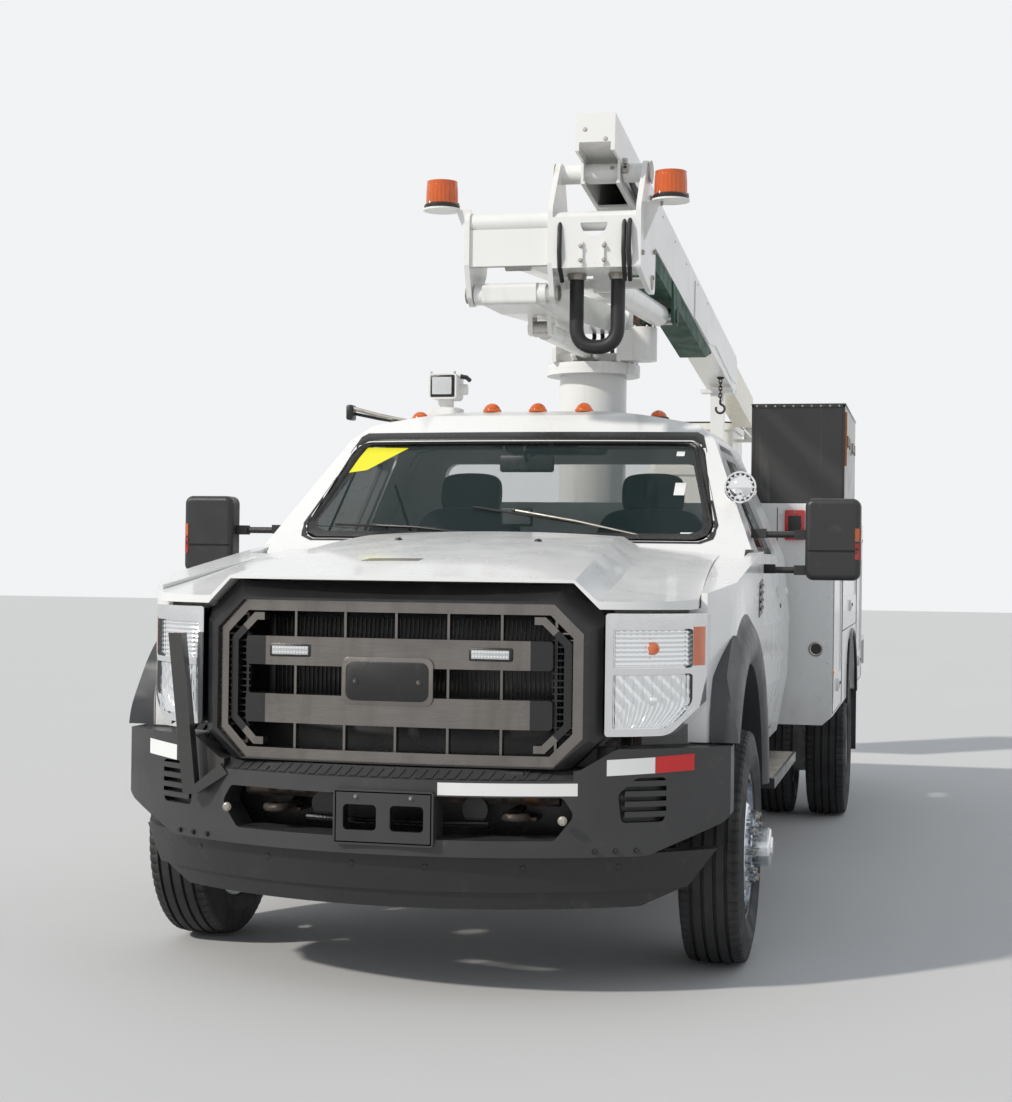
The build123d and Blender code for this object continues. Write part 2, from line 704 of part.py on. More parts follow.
def front_fenders():
    """Both fenders with their flares and the panel that joins them."""
    shell = fender_region(0, 0) - fender_region(45, FENDER_X - FENDER_IN)
    arch = rod_x(ARCH_R, -1300, 1300, 0, ARCH_Z) + block(-1300, 1300, -ARCH_R, ARCH_R, 0, ARCH_Z)
    middle = block(-HOOD_X + 25, HOOD_X - 25, -1000, 900, 600, 1600)
    panels = shell - arch - middle - block(-1300, 1300, -1100, LAMP_BACK, 500, 1700)
    flare = wheel_flare()
    panels += flare + other_side(flare)
    panel = block(-HOOD_X - 40, HOOD_X + 40, LAMP_BACK, LAMP_BACK + 40, RAIL_TOP + GAP, 1200)
    panel -= block(-480, 480, LAMP_BACK - 10, LAMP_BACK + 50, RAIL_TOP + 60, 1150)
    panels += panel
    for x in (-RAIL_X + 40, RAIL_X - 40):
        panels += block(x - 30, x + 30, LAMP_BACK, LAMP_BACK + 40, RAIL_TOP + FIT, RAIL_TOP + 60)
    # room for the bumper's ends, the bonnet's edge and the cab's cowl
    panels -= block(-1300, 1300, -1100, -440, 500, 812)
    panels -= hood_mass(-200, GAP, 1100) - under_split(GAP)
    cowl = block(-FENDER_IN - 5, FENDER_IN + 5, 380, 900, 1200, 1600)
    return panels - cowl


def grille_outline(half, low, high, cut):
    """The grille's eight-sided outline."""
    return [
        (-half, low + cut, 0), (-half + cut, low, 0), (half - cut, low, 0), (half, low + cut, 0),
        (half, high - cut, 0), (half - cut, high, 0), (-half + cut, high, 0), (-half, high - cut, 0),
    ]


def grille_surround():
    """The moulded surround: a bezel whose sides rake back from the metal frame."""
    face = grille_outline(FACE_HALF, GRILLE_LOW + 2, 1262, GRILLE_CUT)
    ring = front_plate(face, -1000, FACE_Y)
    ring += extrude(Plane.XZ.offset(-FACE_Y) * outline(face), FACE_Y - LAMP_BACK + FIT, taper=-38)
    ring &= front_plate(
        grille_outline(GRILLE_HALF, GRILLE_LOW, GRILLE_HIGH, GRILLE_CUT), -1100, LAMP_BACK - FIT
    )
    ring -= front_plate(grille_outline(FACE_HALF - 4, GRILLE_LOW + 5, 1254, GRILLE_CUT - 4), -1100, -500)
    # room for the frame's rails and front cross member
    rails = block(-RAIL_X - GAP, RAIL_X + GAP, RAIL_FRONT - GAP, -500, 700, RAIL_TOP + GAP)
    return (ring & plan_solid(-15, 700, 1330)) - rails


def grille_ring(half, low, high, corner, width):
    """A flat eight-sided ring drawn in X and Z, through the whole nose."""
    ring = front_plate(grille_outline(half, low, high, corner), -1100, -500)
    inner = grille_outline(half - width, low + width, high - width, corner - width * 0.6)
    return ring - front_plate(inner, -1100, -500)


def grille_insert():
    """The metal grille: frame, side brackets, two wide bars and thin uprights."""
    frame = grille_ring(FACE_HALF - 4 - FIT, GRILLE_LOW + 5 + FIT, 1254 - FIT, GRILLE_CUT - 4, 34)
    parts = (frame & plan_solid(0, 600, 1400)) - plan_solid(60, 500, 1500)
    # brackets like a C at both sides, set back from the frame
    bracket = grille_ring(562, 788, 1213, 82, 24) - block(-445, 445, -1100, -500, 700, 1300)
    parts += (bracket & plan_solid(12, 600, 1400)) - plan_solid(60, 500, 1500)
    # wide bars with hollow ends, crowned toward the front
    for z in (861, 1046):
        bar = front_plate([
            (-505, z, 12), (505, z, 12), (505, z + BAR_H, 12), (-505, z + BAR_H, 12),
        ], -1100, -500)
        parts += (bar & plan_solid(2, 600, 1400)) - plan_solid(60, 500, 1500)
    uprights = block(-4, 4, -1100, -500, 770, 1230)
    for k in (-3, -2, -1, 1, 2, 3):
        uprights += block(k * 170 - 4, k * 170 + 4, -1100, -500, 770, 1230)
    # ribs behind the side brackets
    for k in range(RIBS):
        z = 845 + k * (1160 - 845) / (RIBS - 1)
        for side in (-1, 1):
            uprights += block(side * 500, side * 572, -1100, -500, z, z + 5)
    thin = plan_solid(30, 600, 1400) - plan_solid(60, 500, 1500)
    return parts + (uprights & thin)


def headlamps():
    """The two tall lamps: a bezel round an upper and a lower reflector field."""
    band = plan_solid(0, 700, 1400) - plan_solid(150, 600, 1500)
    lamp = front_plate([
        (665, 845, 10), (850, 845, 60), (960, 960, 60), (960, 1228, 10), (665, 1228, 10),
    ], -1100, LAMP_BACK - FIT)
    lamp = lamp & band
    fields = front_plate([
        (688, 868, 10), (845, 868, 50), (912, 945, 40), (912, 1038, 10), (688, 1038, 10),
    ], -1100, -400)
    fields += front_plate([
        (688, 1056, 10), (912, 1056, 10), (912, 1180, 10), (688, 1180, 10),
    ], -1100, -400)
    lamp -= fields & (plan_solid(-5, 700, 1400) - plan_solid(14, 600, 1500))
    return lamp + other_side(lamp)


def bumper_plan(depth):
    """The bumper seen from above, its front set back by depth, as a closed face."""
    d = depth
    front = ThreePointArc((-1030 + d, -573 + d), (0, -985 + d), (1030 - d, -573 + d))
    ends = Polyline((1030 - d, -573 + d), (1030 - d, -470), (960, -470))
    back = ThreePointArc((960, -470), (0, -850), (-960, -470))
    close = Polyline((-960, -470), (-1030 + d, -470), (-1030 + d, -573 + d))
    return make_face(front + ends + back + close)


def front_bumper():
    """The bumper with its step, tow opening, blanked lamp holes, plate holder and air dam."""
    face = front_plate([
        (-1040, 575, 70), (-1040, 805, 20), (-700, 805, 40), (-590, 738, 40),
        (590, 738, 40), (700, 805, 40), (1040, 805, 20), (1040, 575, 70),
        (790, 470, 60), (-790, 470, 60),
    ], -1100, -300)
    bumper = extrude(Plane.XY.offset(400) * bumper_plan(0), 500) & face
    bumper -= front_plate([
        (-520, 522, 20), (-580, 600, 30), (-545, 656, 20), (545, 656, 20), (580, 600, 30), (520, 522, 20),
    ], -1100, -300)
    # the step's front edge leans back under its rubber pad
    step = extrude(Plane.XY.offset(STEP_Z) * bumper_plan(0), 60, taper=58)
    bumper -= block(-STEP_X, STEP_X, -1000, -800, STEP_Z, 760) - step
    # blanked lamp holes with slats
    pocket_skin = extrude(Plane.XY.offset(500) * bumper_plan(0), 300)
    pocket_skin -= extrude(Plane.XY.offset(499) * bumper_plan(26), 302)
    for side in (-1, 1):
        pocket = front_plate([
            (side * 715, 575, 15), (side * 835, 575, 15), (side * 845, 600, 20), (side * 845, 715, 15),
            (side * 760, 715, 30), (side * 705, 665, 30),
        ], -1100, -300)
        for k in range(SLATS):
            z = 592 + k * 32
            pocket -= block(side * 725, side * 850, -1100, -300, z, z + 17)
        bumper -= pocket & pocket_skin
    # plate holder with two rounded windows, its bolt holes above them
    holder = block(-162, 162, FRONT_END, -880, 500, 672)
    holder = fillet(holder.edges().filter_by(Axis.Y), 12)
    for x in (-76, 76):
        window = block(x - 54, x + 54, -1010, -860, 545, 625)
        holder -= fillet(window.edges().filter_by(Axis.Y), 14)
    holder -= block(-150, 150, -986, -870, 490, 640)
    bumper += holder
    for side in (-1, 1):
        bumper -= rod_y(PLATE_HOLE_R, side * PLATE_SPAN / 2, -1000, -870, 650)
    # brackets to the frame, with the tow hooks' arms beneath
    for side in (-1, 1):
        x = side * (RAIL_X - 40)
        bumper += block(x - 30, x + 30, -905, RAIL_FRONT - FIT, 690, 733)
    # air dam with a crease over its lip
    dam = extrude(Plane.XY.offset(355) * bumper_plan(45), 120) & front_plate([
        (-900, 355, 0), (-985, 470, 0), (985, 470, 0), (900, 355, 0),
    ], -1100, -300)
    dam += extrude(Plane.XY.offset(300) * bumper_plan(60), 56) & front_plate([
        (-760, 300, 20), (-900, 357, 0), (900, 357, 0), (760, 300, 20),
    ], -1100, -300)
    # guide post on the passenger's end, an angle bar with its bracket
    post = front_plate([(-712, 620, 0), (-668, 620, 0), (-724, 1141, 0), (-770, 1141, 0)], -880, -872)
    post += front_plate([(-676, 620, 0), (-668, 620, 0), (-724, 1141, 0), (-732, 1141, 0)], -880, -836)
    post += front_plate([(-712, 620, 0), (-668, 620, 0), (-560, 690, 0), (-585, 722, 0)], -880, -838)
    return bumper + dam + post


def roof_lamps():
    """The five domed amber lamps along the roof's front edge."""
    roof = cab_solid(0, cab_side(0))
    lamps = None
    for x in LAMP_X:
        top = min(BROW[1] + 4, ROOF_Z - (ROOF_Z - ROOF_TOP_Z) * (x / ROOF_TOP_X) ** 2) + 6
        lamp = rod_z(40, x, LAMP_Y, ROOF_TOP_Z, top) + Pos(x, LAMP_Y, top - 8) * Sphere(37)
        lamp -= roof
        lamps = lamp if lamps is None else lamps + lamp
        if x > 0:
            lamps += other_side(lamp)
    return lamps


def running_boards():
    """The steps under the doors, hung from the frame."""
    board = block(880, 1060, 760, 1880, 520, 560)
    for y in (900, 1700):
        board += block(RAIL_X + FIT, 900, y, y + 50, 520, 556)
        board += block(RAIL_X + FIT, RAIL_X + 40, y, y + 50, 520, 760)
    return board + other_side(board)


DOORS = [
    # name, y0, y1, z0, z1, hinge edge
    ("front", 2255, 3060, 700, 1640, "front"),
    ("middle", 3095, 4760, 1060, 1640, "top"),
    ("rear", 4795, 5515, 700, 1640, "rear"),
]


def wheel_well(grow):
    """The opening over the rear wheels."""
    half = 560 + grow
    return side_plate([
        (WHEELBASE - half, 300, 0), (WHEELBASE - half, 1000 + grow, 220),
        (WHEELBASE + half, 1000 + grow, 220), (WHEELBASE + half, 300, 0),
    ], 500, 1300)


def body_side():
    """The driver's side compartments of the service body."""
    pack = front_plate([
        (PACK_X, PACK_BOTTOM, 0), (BODY_X - 45, PACK_BOTTOM, 0), (BODY_X, PACK_BOTTOM + 40, 0),
        (BODY_X, PACK_TOP, 12), (PACK_X, PACK_TOP, 0),
    ], BODY_FRONT, BODY_REAR)
    pack -= wheel_well(0)
    for name, y0, y1, z0, z1, hinge_edge in DOORS:
        pack -= block(PACK_X + SHEET, BODY_X - SHEET, y0 - 20, y1 + 20, z0 - 18, z1 + 12)
        pack -= block(BODY_X - SHEET - 1, BODY_X + 1, y0, y1, z0, z1)
    return pack


def body_door(y0, y1, z0, z1, hinge_edge):
    """A compartment door with a pressed panel, its hinge rod and leaf, and its latch."""
    door = block(BODY_X - SHEET, BODY_X, y0 + GAP, y1 - GAP, z0 + GAP, z1 - GAP)
    panel = block(BODY_X - 5, BODY_X + 1, y0 + 70, y1 - 70, z0 + 175, z1 - 70)
    door -= fillet(panel.edges().filter_by(Axis.X), 25)
    middle = (y0 + y1) / 2
    latch = block(BODY_X - 1, BODY_X + 10, middle - 75, middle + 75, z0 + 90, z0 + 150)
    door += fillet(latch.edges().filter_by(Axis.X), 20)
    door -= block(BODY_X + 4, BODY_X + 11, middle - 55, middle + 55, z0 + 100, z0 + 128)
    leaf_x = BODY_X - SHEET
    if hinge_edge == "top":
        door += rod_y(HINGE_R, BODY_X, y0 + 60, y1 - 60, z1 - GAP)
        return door + block(leaf_x, leaf_x + 4, y0 + 60, y1 - 60, z1 - GAP - 1, z1 - FIT)
    if hinge_edge == "front":
        door += rod_z(HINGE_R, BODY_X, y0 + GAP, z0 + 60, z1 - 60)
        return door + block(leaf_x, leaf_x + 4, y0 + FIT, y0 + GAP + 1, z0 + 60, z1 - 60)
    door += rod_z(HINGE_R, BODY_X, y1 - GAP, z0 + 60, z1 - 60)
    return door + block(leaf_x, leaf_x + 4, y1 - GAP - 1, y1 - FIT, z0 + 60, z1 - 60)


def body_deck():
    """The floor, its cross bearers, the front wall and the tail shelf."""
    deck = block(-PACK_X + FIT, PACK_X - FIT, BODY_FRONT, BODY_REAR + 10, DECK_Z - DECK_T, DECK_Z)
    deck += block(-BODY_X, BODY_X, BODY_REAR + FIT, SHELF_REAR, DECK_Z - DECK_T, DECK_Z)
    deck += block(-PACK_X + FIT, PACK_X - FIT, BODY_FRONT, BODY_FRONT + 30, DECK_Z, PACK_TOP)
    for y in (2300, 2900, 3400, 4900, 5400, 5900):
        deck += block(-600, 600, y, y + 60, RAIL_TOP + FIT, DECK_Z - DECK_T)
    # rear skirt with the lamp panels
    deck += block(-BODY_X, BODY_X, SHELF_REAR - 40, SHELF_REAR, 760, DECK_Z)
    # rest for the upper boom
    y = REST_Y
    top = upper_point((y - UPPER_PIN[0]) / cos(radians(UPPER_SLOPE)), UPPER_BOTTOM)[1] - 25
    deck += block(UPPER_X - 40, UPPER_X + 40, y - 40, y + 40, DECK_Z - 1, top)
    deck += block(UPPER_X - 100, UPPER_X + 100, y - 60, y + 60, top - 20, top)
    for turn in (0, 90, 180, 270):
        web = side_plate([(35, DECK_Z - 1, 0), (180, DECK_Z - 1, 0), (35, DECK_Z + 400, 0)], -5, 5)
        deck += Pos(UPPER_X, y, 0) * Rot(0, 0, turn) * web
    return deck


def tail_lamps():
    """The red lamps in the rear skirt."""
    lamps = None
    for x in (-1080, -880, 880, 1080):
        lamp = rod_y(48, x, SHELF_REAR + FIT, SHELF_REAR + 22, 850)
        lamps = lamp if lamps is None else lamps + lamp
    return lamps


def top_box():
    """The black box on the front of the driver's compartments."""
    box = block(816, BODY_X + 46, 2210, 3300, PACK_TOP + FIT, 2138)
    return box


def pedestal():
    """The boom's column with its flange and foot."""
    column = rod_z(PEDESTAL_R, 0, PEDESTAL_Y, DECK_Z + 30, PEDESTAL_TOP)
    column += rod_z(FLANGE_R, 0, PEDESTAL_Y, PEDESTAL_TOP, SLEW_Z)
    column += block(-320, 320, PEDESTAL_Y - 300, PEDESTAL_Y + 320, DECK_Z + FIT, DECK_Z + 30)
    for turn in (45, 135, 225, 315):
        web = side_plate([
            (PEDESTAL_R - 20, DECK_Z + 25, 0), (PEDESTAL_R + 190, DECK_Z + 25, 0),
            (PEDESTAL_R - 20, DECK_Z + 500, 0),
        ], -8, 8)
        column += Pos(0, PEDESTAL_Y, 0) * Rot(0, 0, turn) * web
    return column


def turret():
    """The turning head: disc, box, two ears and the slew gear case."""
    head = rod_z(FLANGE_R, 0, PEDESTAL_Y, SLEW_Z + FIT, TURRET_Z)
    head += block(-190, 190, PEDESTAL_Y - 120, PEDESTAL_Y + 200, TURRET_Z, TURRET_Z + 50)
    pin_y, pin_z = LOWER_PIN
    link_y, link_z = pin_y + LINK_DY, pin_z + LINK_DZ
    ear = side_plate([
        (PEDESTAL_Y - 200, TURRET_Z, 0), (PEDESTAL_Y - 200, TURRET_Z + 80, 30),
        (pin_y - 90, pin_z + 90, 60), (link_y - 50, link_z + 50, 40),
        (link_y + 50, link_z + 50, 45), (link_y + 60, link_z - 60, 60),
        (PEDESTAL_Y + 330, TURRET_Z, 40),
    ], LOWER_X + 5, LOWER_X + 5 + PLATE)
    head += ear + other_side(ear)
    head += rod_x(30, -LOWER_X - 20, LOWER_X + 20, pin_y, pin_z)
    head += rod_x(20, -LOWER_X - 20, LOWER_X + 20, link_y, link_z)
    # lug and pin for the lower lift cylinder
    foot_y, foot_z = LOWER_FOOT
    for x in (-60, 42):
        head += side_plate([
            (foot_y - 35, foot_z - 35, 20), (foot_y + 80, TURRET_Z, 0),
            (foot_y + 160, TURRET_Z, 0), (foot_y + 160, foot_z + 35, 0), (foot_y - 35, foot_z + 35, 20),
        ], x, x + 18)
    head += rod_x(18, -60, 60, foot_y, foot_z)
    head += rod_z(72, 265, PEDESTAL_Y - 150, TURRET_Z + 5, TURRET_Z + 165)
    head += block(150, 265, PEDESTAL_Y - 210, PEDESTAL_Y - 90, TURRET_Z + 5, TURRET_Z + 150)
    return head


def lower_lug():
    """Where the lower cylinder's rod is pinned to the lower boom."""
    dy = ELBOW_PIN[0] - LOWER_PIN[0]
    dz = ELBOW_PIN[1] - LOWER_PIN[1]
    length = hypot(dy, dz)
    uy, uz = dy / length, dz / length
    y = LOWER_PIN[0] + uy * LOWER_LUG_ALONG - uz * LOWER_LUG_DOWN * -1
    z = LOWER_PIN[1] + uz * LOWER_LUG_ALONG + uy * LOWER_LUG_DOWN * -1
    return y, z


def upper_point(along, above):
    """A point of the upper boom, from its pivot along and above its axis."""
    c, s = cos(radians(UPPER_SLOPE)), sin(radians(UPPER_SLOPE))
    return UPPER_PIN[0] + along * c + above * s, UPPER_PIN[1] - along * s + above * c


def lower_boom():
    """The lower boom, pinned in the turret and at the elbow."""
    dy = ELBOW_PIN[0] - LOWER_PIN[0]
    dz = ELBOW_PIN[1] - LOWER_PIN[1]
    length = hypot(dy, dz)
    tilt = degrees(atan2(-dz, -dy))
    # drawn along minus Y from the turret pin, then tilted
    profile = [
        (70, -55, 20), (70, 55, 20), (-500, 62, 0), (-length + 300, 55, 0), (-length - 45, 42, 20),
        (-length - 45, -42, 20), (-length + 300, -60, 0), (-500, -66, 0),
    ]
    beam = side_plate(profile, -110, 110)
    hubs = rod_x(48, -LOWER_X, LOWER_X, 0, 0) + rod_x(42, -LOWER_X, LOWER_X, -length, 0)
    lug = None
    for x in (-50, 32):
        ear = side_plate([
            (-LOWER_LUG_ALONG + 60, -50, 0), (-LOWER_LUG_ALONG + 30, LOWER_LUG_DOWN - 30, 20),
            (-LOWER_LUG_ALONG - 30, LOWER_LUG_DOWN - 30, 20), (-LOWER_LUG_ALONG - 60, -50, 0),
        ], x, x + 18)
        lug = ear if lug is None else lug + ear
    # the pin's heads outside the ears; the rod's eye is free between them
    pin = rod_x(26, -58, -49, -LOWER_LUG_ALONG, LOWER_LUG_DOWN)
    pin += rod_x(26, 49, 58, -LOWER_LUG_ALONG, LOWER_LUG_DOWN)
    boom = beam + hubs + lug + pin
    boom -= rod_x(30 + FIT, -200, 200, 0, 0)
    boom -= rod_x(26 + FIT, -200, 200, -length, 0)
    return Pos(0, *LOWER_PIN) * Rot(tilt, 0, 0) * boom


def comp_link():
    """The bar beside the lower boom that keeps the elbow level."""
    y0, z0 = LOWER_PIN[0] + LINK_DY, LOWER_PIN[1] + LINK_DZ
    y1, z1 = ELBOW_PIN[0] + LINK_DY, ELBOW_PIN[1] + LINK_DZ
    length = hypot(y1 - y0, z1 - z0)
    tilt = degrees(atan2(z0 - z1, y0 - y1))
    bar = block(-35, 35, -length, 0, -18, 18)
    bar += rod_x(36, -50, 50, 0, 0) + rod_x(36, -50, 50, -length, 0)
    bar -= rod_x(20 + FIT, -60, 60, 0, 0) + rod_x(20 + FIT, -60, 60, -length, 0)
    return Pos(0, y0, z0) * Rot(tilt, 0, 0) * bar


def elbow():
    """The elbow: three plates, two boxes between them and the beacon shelves."""
    ey, ez = ELBOW_PIN
    uy, uz = UPPER_PIN
    low_left = [
        (600, 2773, 40), (600, 2560, 0), (ey - 50, ez - 20, 30), (ey, ez - 52, 40),
        (ey + 60, ez - 30, 40), (900, 2560, 60), (940, 2700, 40), (760, 2773, 60),
    ]
    tall = [
        (600, 2780, 60), (600, 2560, 0), (ey - 50, ez - 20, 30), (ey, ez - 52, 40),
        (ey + 70, ez - 30, 40), (980, 2480, 30), (990, 2640, 40), (uy + 60, uz - 40, 40),
        (uy + 45, uz + 45, 40), (uy - 45, uz + 40, 40),
    ]
    right = [
        (600, 2780, 60), (600, 2535, 20), (860, 2480, 40), (980, 2480, 30), (990, 2640, 40),
        (uy + 60, uz - 40, 40), (uy + 45, uz + 45, 40), (uy - 45, uz + 40, 40),
    ]
    low = LOWER_X + CLEAR
    mid0, mid1 = 165, 165 + PLATE
    far0, far1 = 515, 515 + PLATE
    body = side_plate(low_left, -low - PLATE, -low)
    body += side_plate(tall, mid0, mid1) + side_plate(right, far0, far1)
    # left box between the plates
    body += rod_x(36, -low - 1, mid0 + 1, 644, 2730)
    body += side_plate([
        (612, 2700, 0), (612, 2555, 0), (626, 2555, 0), (760, 2660, 0), (760, 2700, 0),
    ], -low - 1, mid0 + 1)
    # right box with its half round window
    front = block(mid1 - 1, far0 + 1, 600, 616, 2540, 2740)
    window = rod_y(53, 350, 590, 640, 2715) & block(250, 450, 580, 650, 2600, 2715)
    front -= window
    body += front + rod_x(38, mid1 - 1, far0 + 1, 644, 2728)
    body += block(mid1 - 1, far0 + 1, 616, 820, 2540, 2552)
    for x in (300, 385):
        body += block(x, x + 8, 590, 601, 2548, 2640)
    # pins
    body += rod_x(26, -low - PLATE - 10, mid1 + 10, ey, ez)
    body += rod_x(20, -low - PLATE, mid1, ey + LINK_DY, ez + LINK_DZ)
    body += rod_x(38, mid0 - 8, UPPER_X - UPPER_W / 2 - CLEAR, uy, uz)
    body += rod_x(38, UPPER_X + UPPER_W / 2 + CLEAR, far1 + 8, uy, uz)
    body += rod_x(26, mid0, far1, uy, uz)
    body += rod_x(22, mid0, far1, *UPPER_FOOT)
    # beacon shelves
    body += rod_z(75, -290, 700, 2796, 2803) + rod_z(75, 635, 700, 2806, 2813)
    left_bracket = front_plate([(-230, 2798, 0), (-168, 2798, 0), (-168, 2640, 0)], 690, 700)
    right_bracket = front_plate([(533, 2808, 0), (600, 2808, 0), (533, 2650, 0)], 690, 700)
    return body + left_bracket + right_bracket


def hose():
    """The hose loop that hangs under the elbow's right box."""
    y = 760
    path = Line((255, y, 2560), (255, y, 2330))
    path += ThreePointArc((255, y, 2330), (338, y, 2247), (421, y, 2330))
    path += Line((421, y, 2330), (421, y, 2560))
    ring = Plane((255, y, 2560), z_dir=(0, 0, -1)) * Circle(HOSE_R)
    return sweep(ring, path) & block(200, 500, 700, 820, 2100, 2540 - FIT)


def work_lights():
    """The remote spotlight on the roof and the lamp on the driver's pillar."""
    x, y = SPOT
    foot = block(x - 68, x + 68, y - 75, y + 75, 1990, 2056)
    spot = fillet(foot.edges().filter_by(Axis.Z), 30) - cab_solid(0, cab_side(0))
    spot += rod_z(34, x, y, 2050, 2100)
    head = block(x - 62, x + 62, y - 66, y + 60, 2094, 2206)
    head = fillet(head.edges().filter_by(Axis.Y), 18)
    head -= block(x - 48, x + 48, y - 67, y - 50, 2108, 2192)
    # motor housing beside the head
    spot += head + rod_x(24, x + 50, x + 92, y + 10, 2140)
    lamp = rod_y(62, 920, 700, 740, 1689) + Pos(920, 740, 1689) * Sphere(62)
    stem = Plane((920, 730, 1690), z_dir=(-0.5, 0.75, -0.43)) * Pos(0, 0, 60) * Cylinder(14, 120)
    return spot + (lamp + stem - cab_solid(-FIT, cab_side(-FIT)))


def beacons():
    """The two amber beacons."""
    lamps = rod_z(62, -290, 700, 2803 + FIT, 2913) + rod_z(62, 635, 700, 2813 + FIT, 2923)
    return lamps


def upper_boom():
    """The outer boom tube with its butt plates and the housing underneath."""
    half = UPPER_W / 2
    tube = block(-half, half, UPPER_BUTT, UPPER_END, UPPER_BOTTOM, UPPER_TOP)
    tube -= block(
        -half + TUBE_WALL, half - TUBE_WALL, UPPER_BUTT + 14, UPPER_END + 1,
        UPPER_BOTTOM + TUBE_WALL, UPPER_TOP - TUBE_WALL,
    )
    # the tube is cut away under its butt, where the pivot is
    tube -= block(-half + 16, half - 16, UPPER_BUTT - 1, 260, UPPER_BOTTOM - 1, 64)
    tube -= block(-half - 1, half + 1, UPPER_BUTT - 1, -70, UPPER_BOTTOM - 1, 30)
    tube += block(-half, half, UPPER_BUTT, 300, 64, 76)
    tube += rod_x(40, -half, half, 0, 0)
    tube -= rod_x(26 + FIT, -half - 1, half + 1, 0, 0)
    # housing under the tube
    housing = side_plate([
        (500, UPPER_BOTTOM, 0), (500, -140, 0), (2880, -140, 0), (3150, UPPER_BOTTOM, 0),
    ], -half + 8, half - 8)
    housing -= block(-half + 16, half - 16, 510, 2860, -130, UPPER_BOTTOM + 1)
    # doubler plates on both sides, where the housing ends
    for x in (-half - 5, half):
        tube += side_plate([
            (2300, UPPER_BOTTOM + 4, 0), (2950, -52, 0), (3230, UPPER_BOTTOM + 60, 0),
            (4150, UPPER_BOTTOM + 40, 0), (4390, UPPER_BOTTOM + 70, 0), (4390, UPPER_TOP - 40, 0),
            (2300, UPPER_TOP - 40, 0),
        ], x, x + 5)
    tube += housing
    for x in (-half, half - 16):
        tube += side_plate([
            (UPPER_LUG_ALONG - 120, UPPER_BOTTOM, 0), (UPPER_LUG_ALONG - 60, UPPER_LUG_DOWN - 40, 30),
            (UPPER_LUG_ALONG + 60, UPPER_LUG_DOWN - 40, 30), (UPPER_LUG_ALONG + 160, UPPER_BOTTOM, 0),
        ], x, x + 16)
    # the pin's heads outside the ears; the rod's eye is free between them
    for side in (-1, 1):
        tube += rod_x(34, side * (half - 1), side * (half + 9), UPPER_LUG_ALONG, UPPER_LUG_DOWN)
    # wear pads in the tube's mouth, on which the inner boom slides
    mouth = block(
        -half + 1, half - 1, UPPER_END - 120, UPPER_END - 10, UPPER_BOTTOM + 1, UPPER_TOP - 1
    )
    mouth -= block(
        -INNER_W / 2 - FIT, INNER_W / 2 + FIT, UPPER_END - 121, UPPER_END - 9,
        INNER_BOTTOM - FIT, INNER_TOP + FIT,
    )
    tube += mouth
    return Pos(UPPER_X, *UPPER_PIN) * Rot(-UPPER_SLOPE, 0, 0) * tube


def inner_boom():
    """The inner boom that slides out, with the tip lugs."""
    half = INNER_W / 2
    beam = block(-half, half, INNER_ROOT, INNER_TIP, INNER_BOTTOM, INNER_TOP)
    beam -= block(
        -half + 8, half - 8, INNER_ROOT - 1, INNER_TIP - 200, INNER_BOTTOM + 8, INNER_TOP - 8
    )
    for side in (-1, 1):
        beam += block(
            side * (half - 18), side * half, INNER_TIP - 5, TIP_ALONG + 40, TIP_ABOVE - 45, TIP_ABOVE + 45
        )
    beam += rod_x(20, -half, half, TIP_ALONG, TIP_ABOVE)
    return Pos(UPPER_X, *UPPER_PIN) * Rot(-UPPER_SLOPE, 0, 0) * beam


def bucket_mount():
    """The bracket that stays level at the boom's tip and carries the bucket's swivel."""
    y, z = upper_point(TIP_ALONG, TIP_ABOVE)
    mount = rod_x(40, UPPER_X - 39, UPPER_X + 39, y, z)
    mount += block(UPPER_X - 39, UPPER_X + 39, y, SWIVEL_Y - 20, z - 40, z + 40)
    mount += rod_z(45, SWIVEL_X, SWIVEL_Y, z - 120, z + 60)
    mount -= rod_x(20 + FIT, UPPER_X - 50, UPPER_X + 50, y, z)
    return mount - rod_z(SWIVEL_R + FIT, SWIVEL_X, SWIVEL_Y, z - 130, z + 70)


def bucket_block(inset, z0, z1, corner):
    """The bucket's plan with round corners, set in by inset, from z0 to z1."""
    half = BUCKET_L / 2 - inset
    x0, x1 = BUCKET_X - BUCKET_W + inset, BUCKET_X - inset
    return floor_plate([
        (x0, SWIVEL_Y - half, corner), (x1, SWIVEL_Y - half, corner),
        (x1, SWIVEL_Y + half, corner), (x0, SWIVEL_Y + half, corner),
    ], z0, z1)


def bucket():
    """The open bucket with its rim and the swivel arm."""
    x1 = BUCKET_X
    bottom = BUCKET_RIM - BUCKET_H
    inset = RIM_LIP
    tub = bucket_block(inset, bottom, BUCKET_RIM, 60)
    for z, height in ((bottom, 40), (bottom + 380, 50), (bottom + 700, 50), (BUCKET_RIM - 45, 45)):
        tub += bucket_block(0, z, z + height, 70)
    tub -= bucket_block(inset + BUCKET_WALL, bottom + BUCKET_WALL, BUCKET_RIM + 1, 52)
    # swivel lugs over and under the bracket, with the pin between them
    z = upper_point(TIP_ALONG, TIP_ABOVE)[1]
    for z0 in (z - 120 - 18 - FIT, z + 60 + FIT):
        tub += block(x1 - RIM_LIP - 4, SWIVEL_X, SWIVEL_Y - 40, SWIVEL_Y + 40, z0, z0 + 18)
        tub += rod_z(40, SWIVEL_X, SWIVEL_Y, z0, z0 + 18)
    tub += rod_z(SWIVEL_R, SWIVEL_X, SWIVEL_Y, z - 130, z + 70)
    return tub


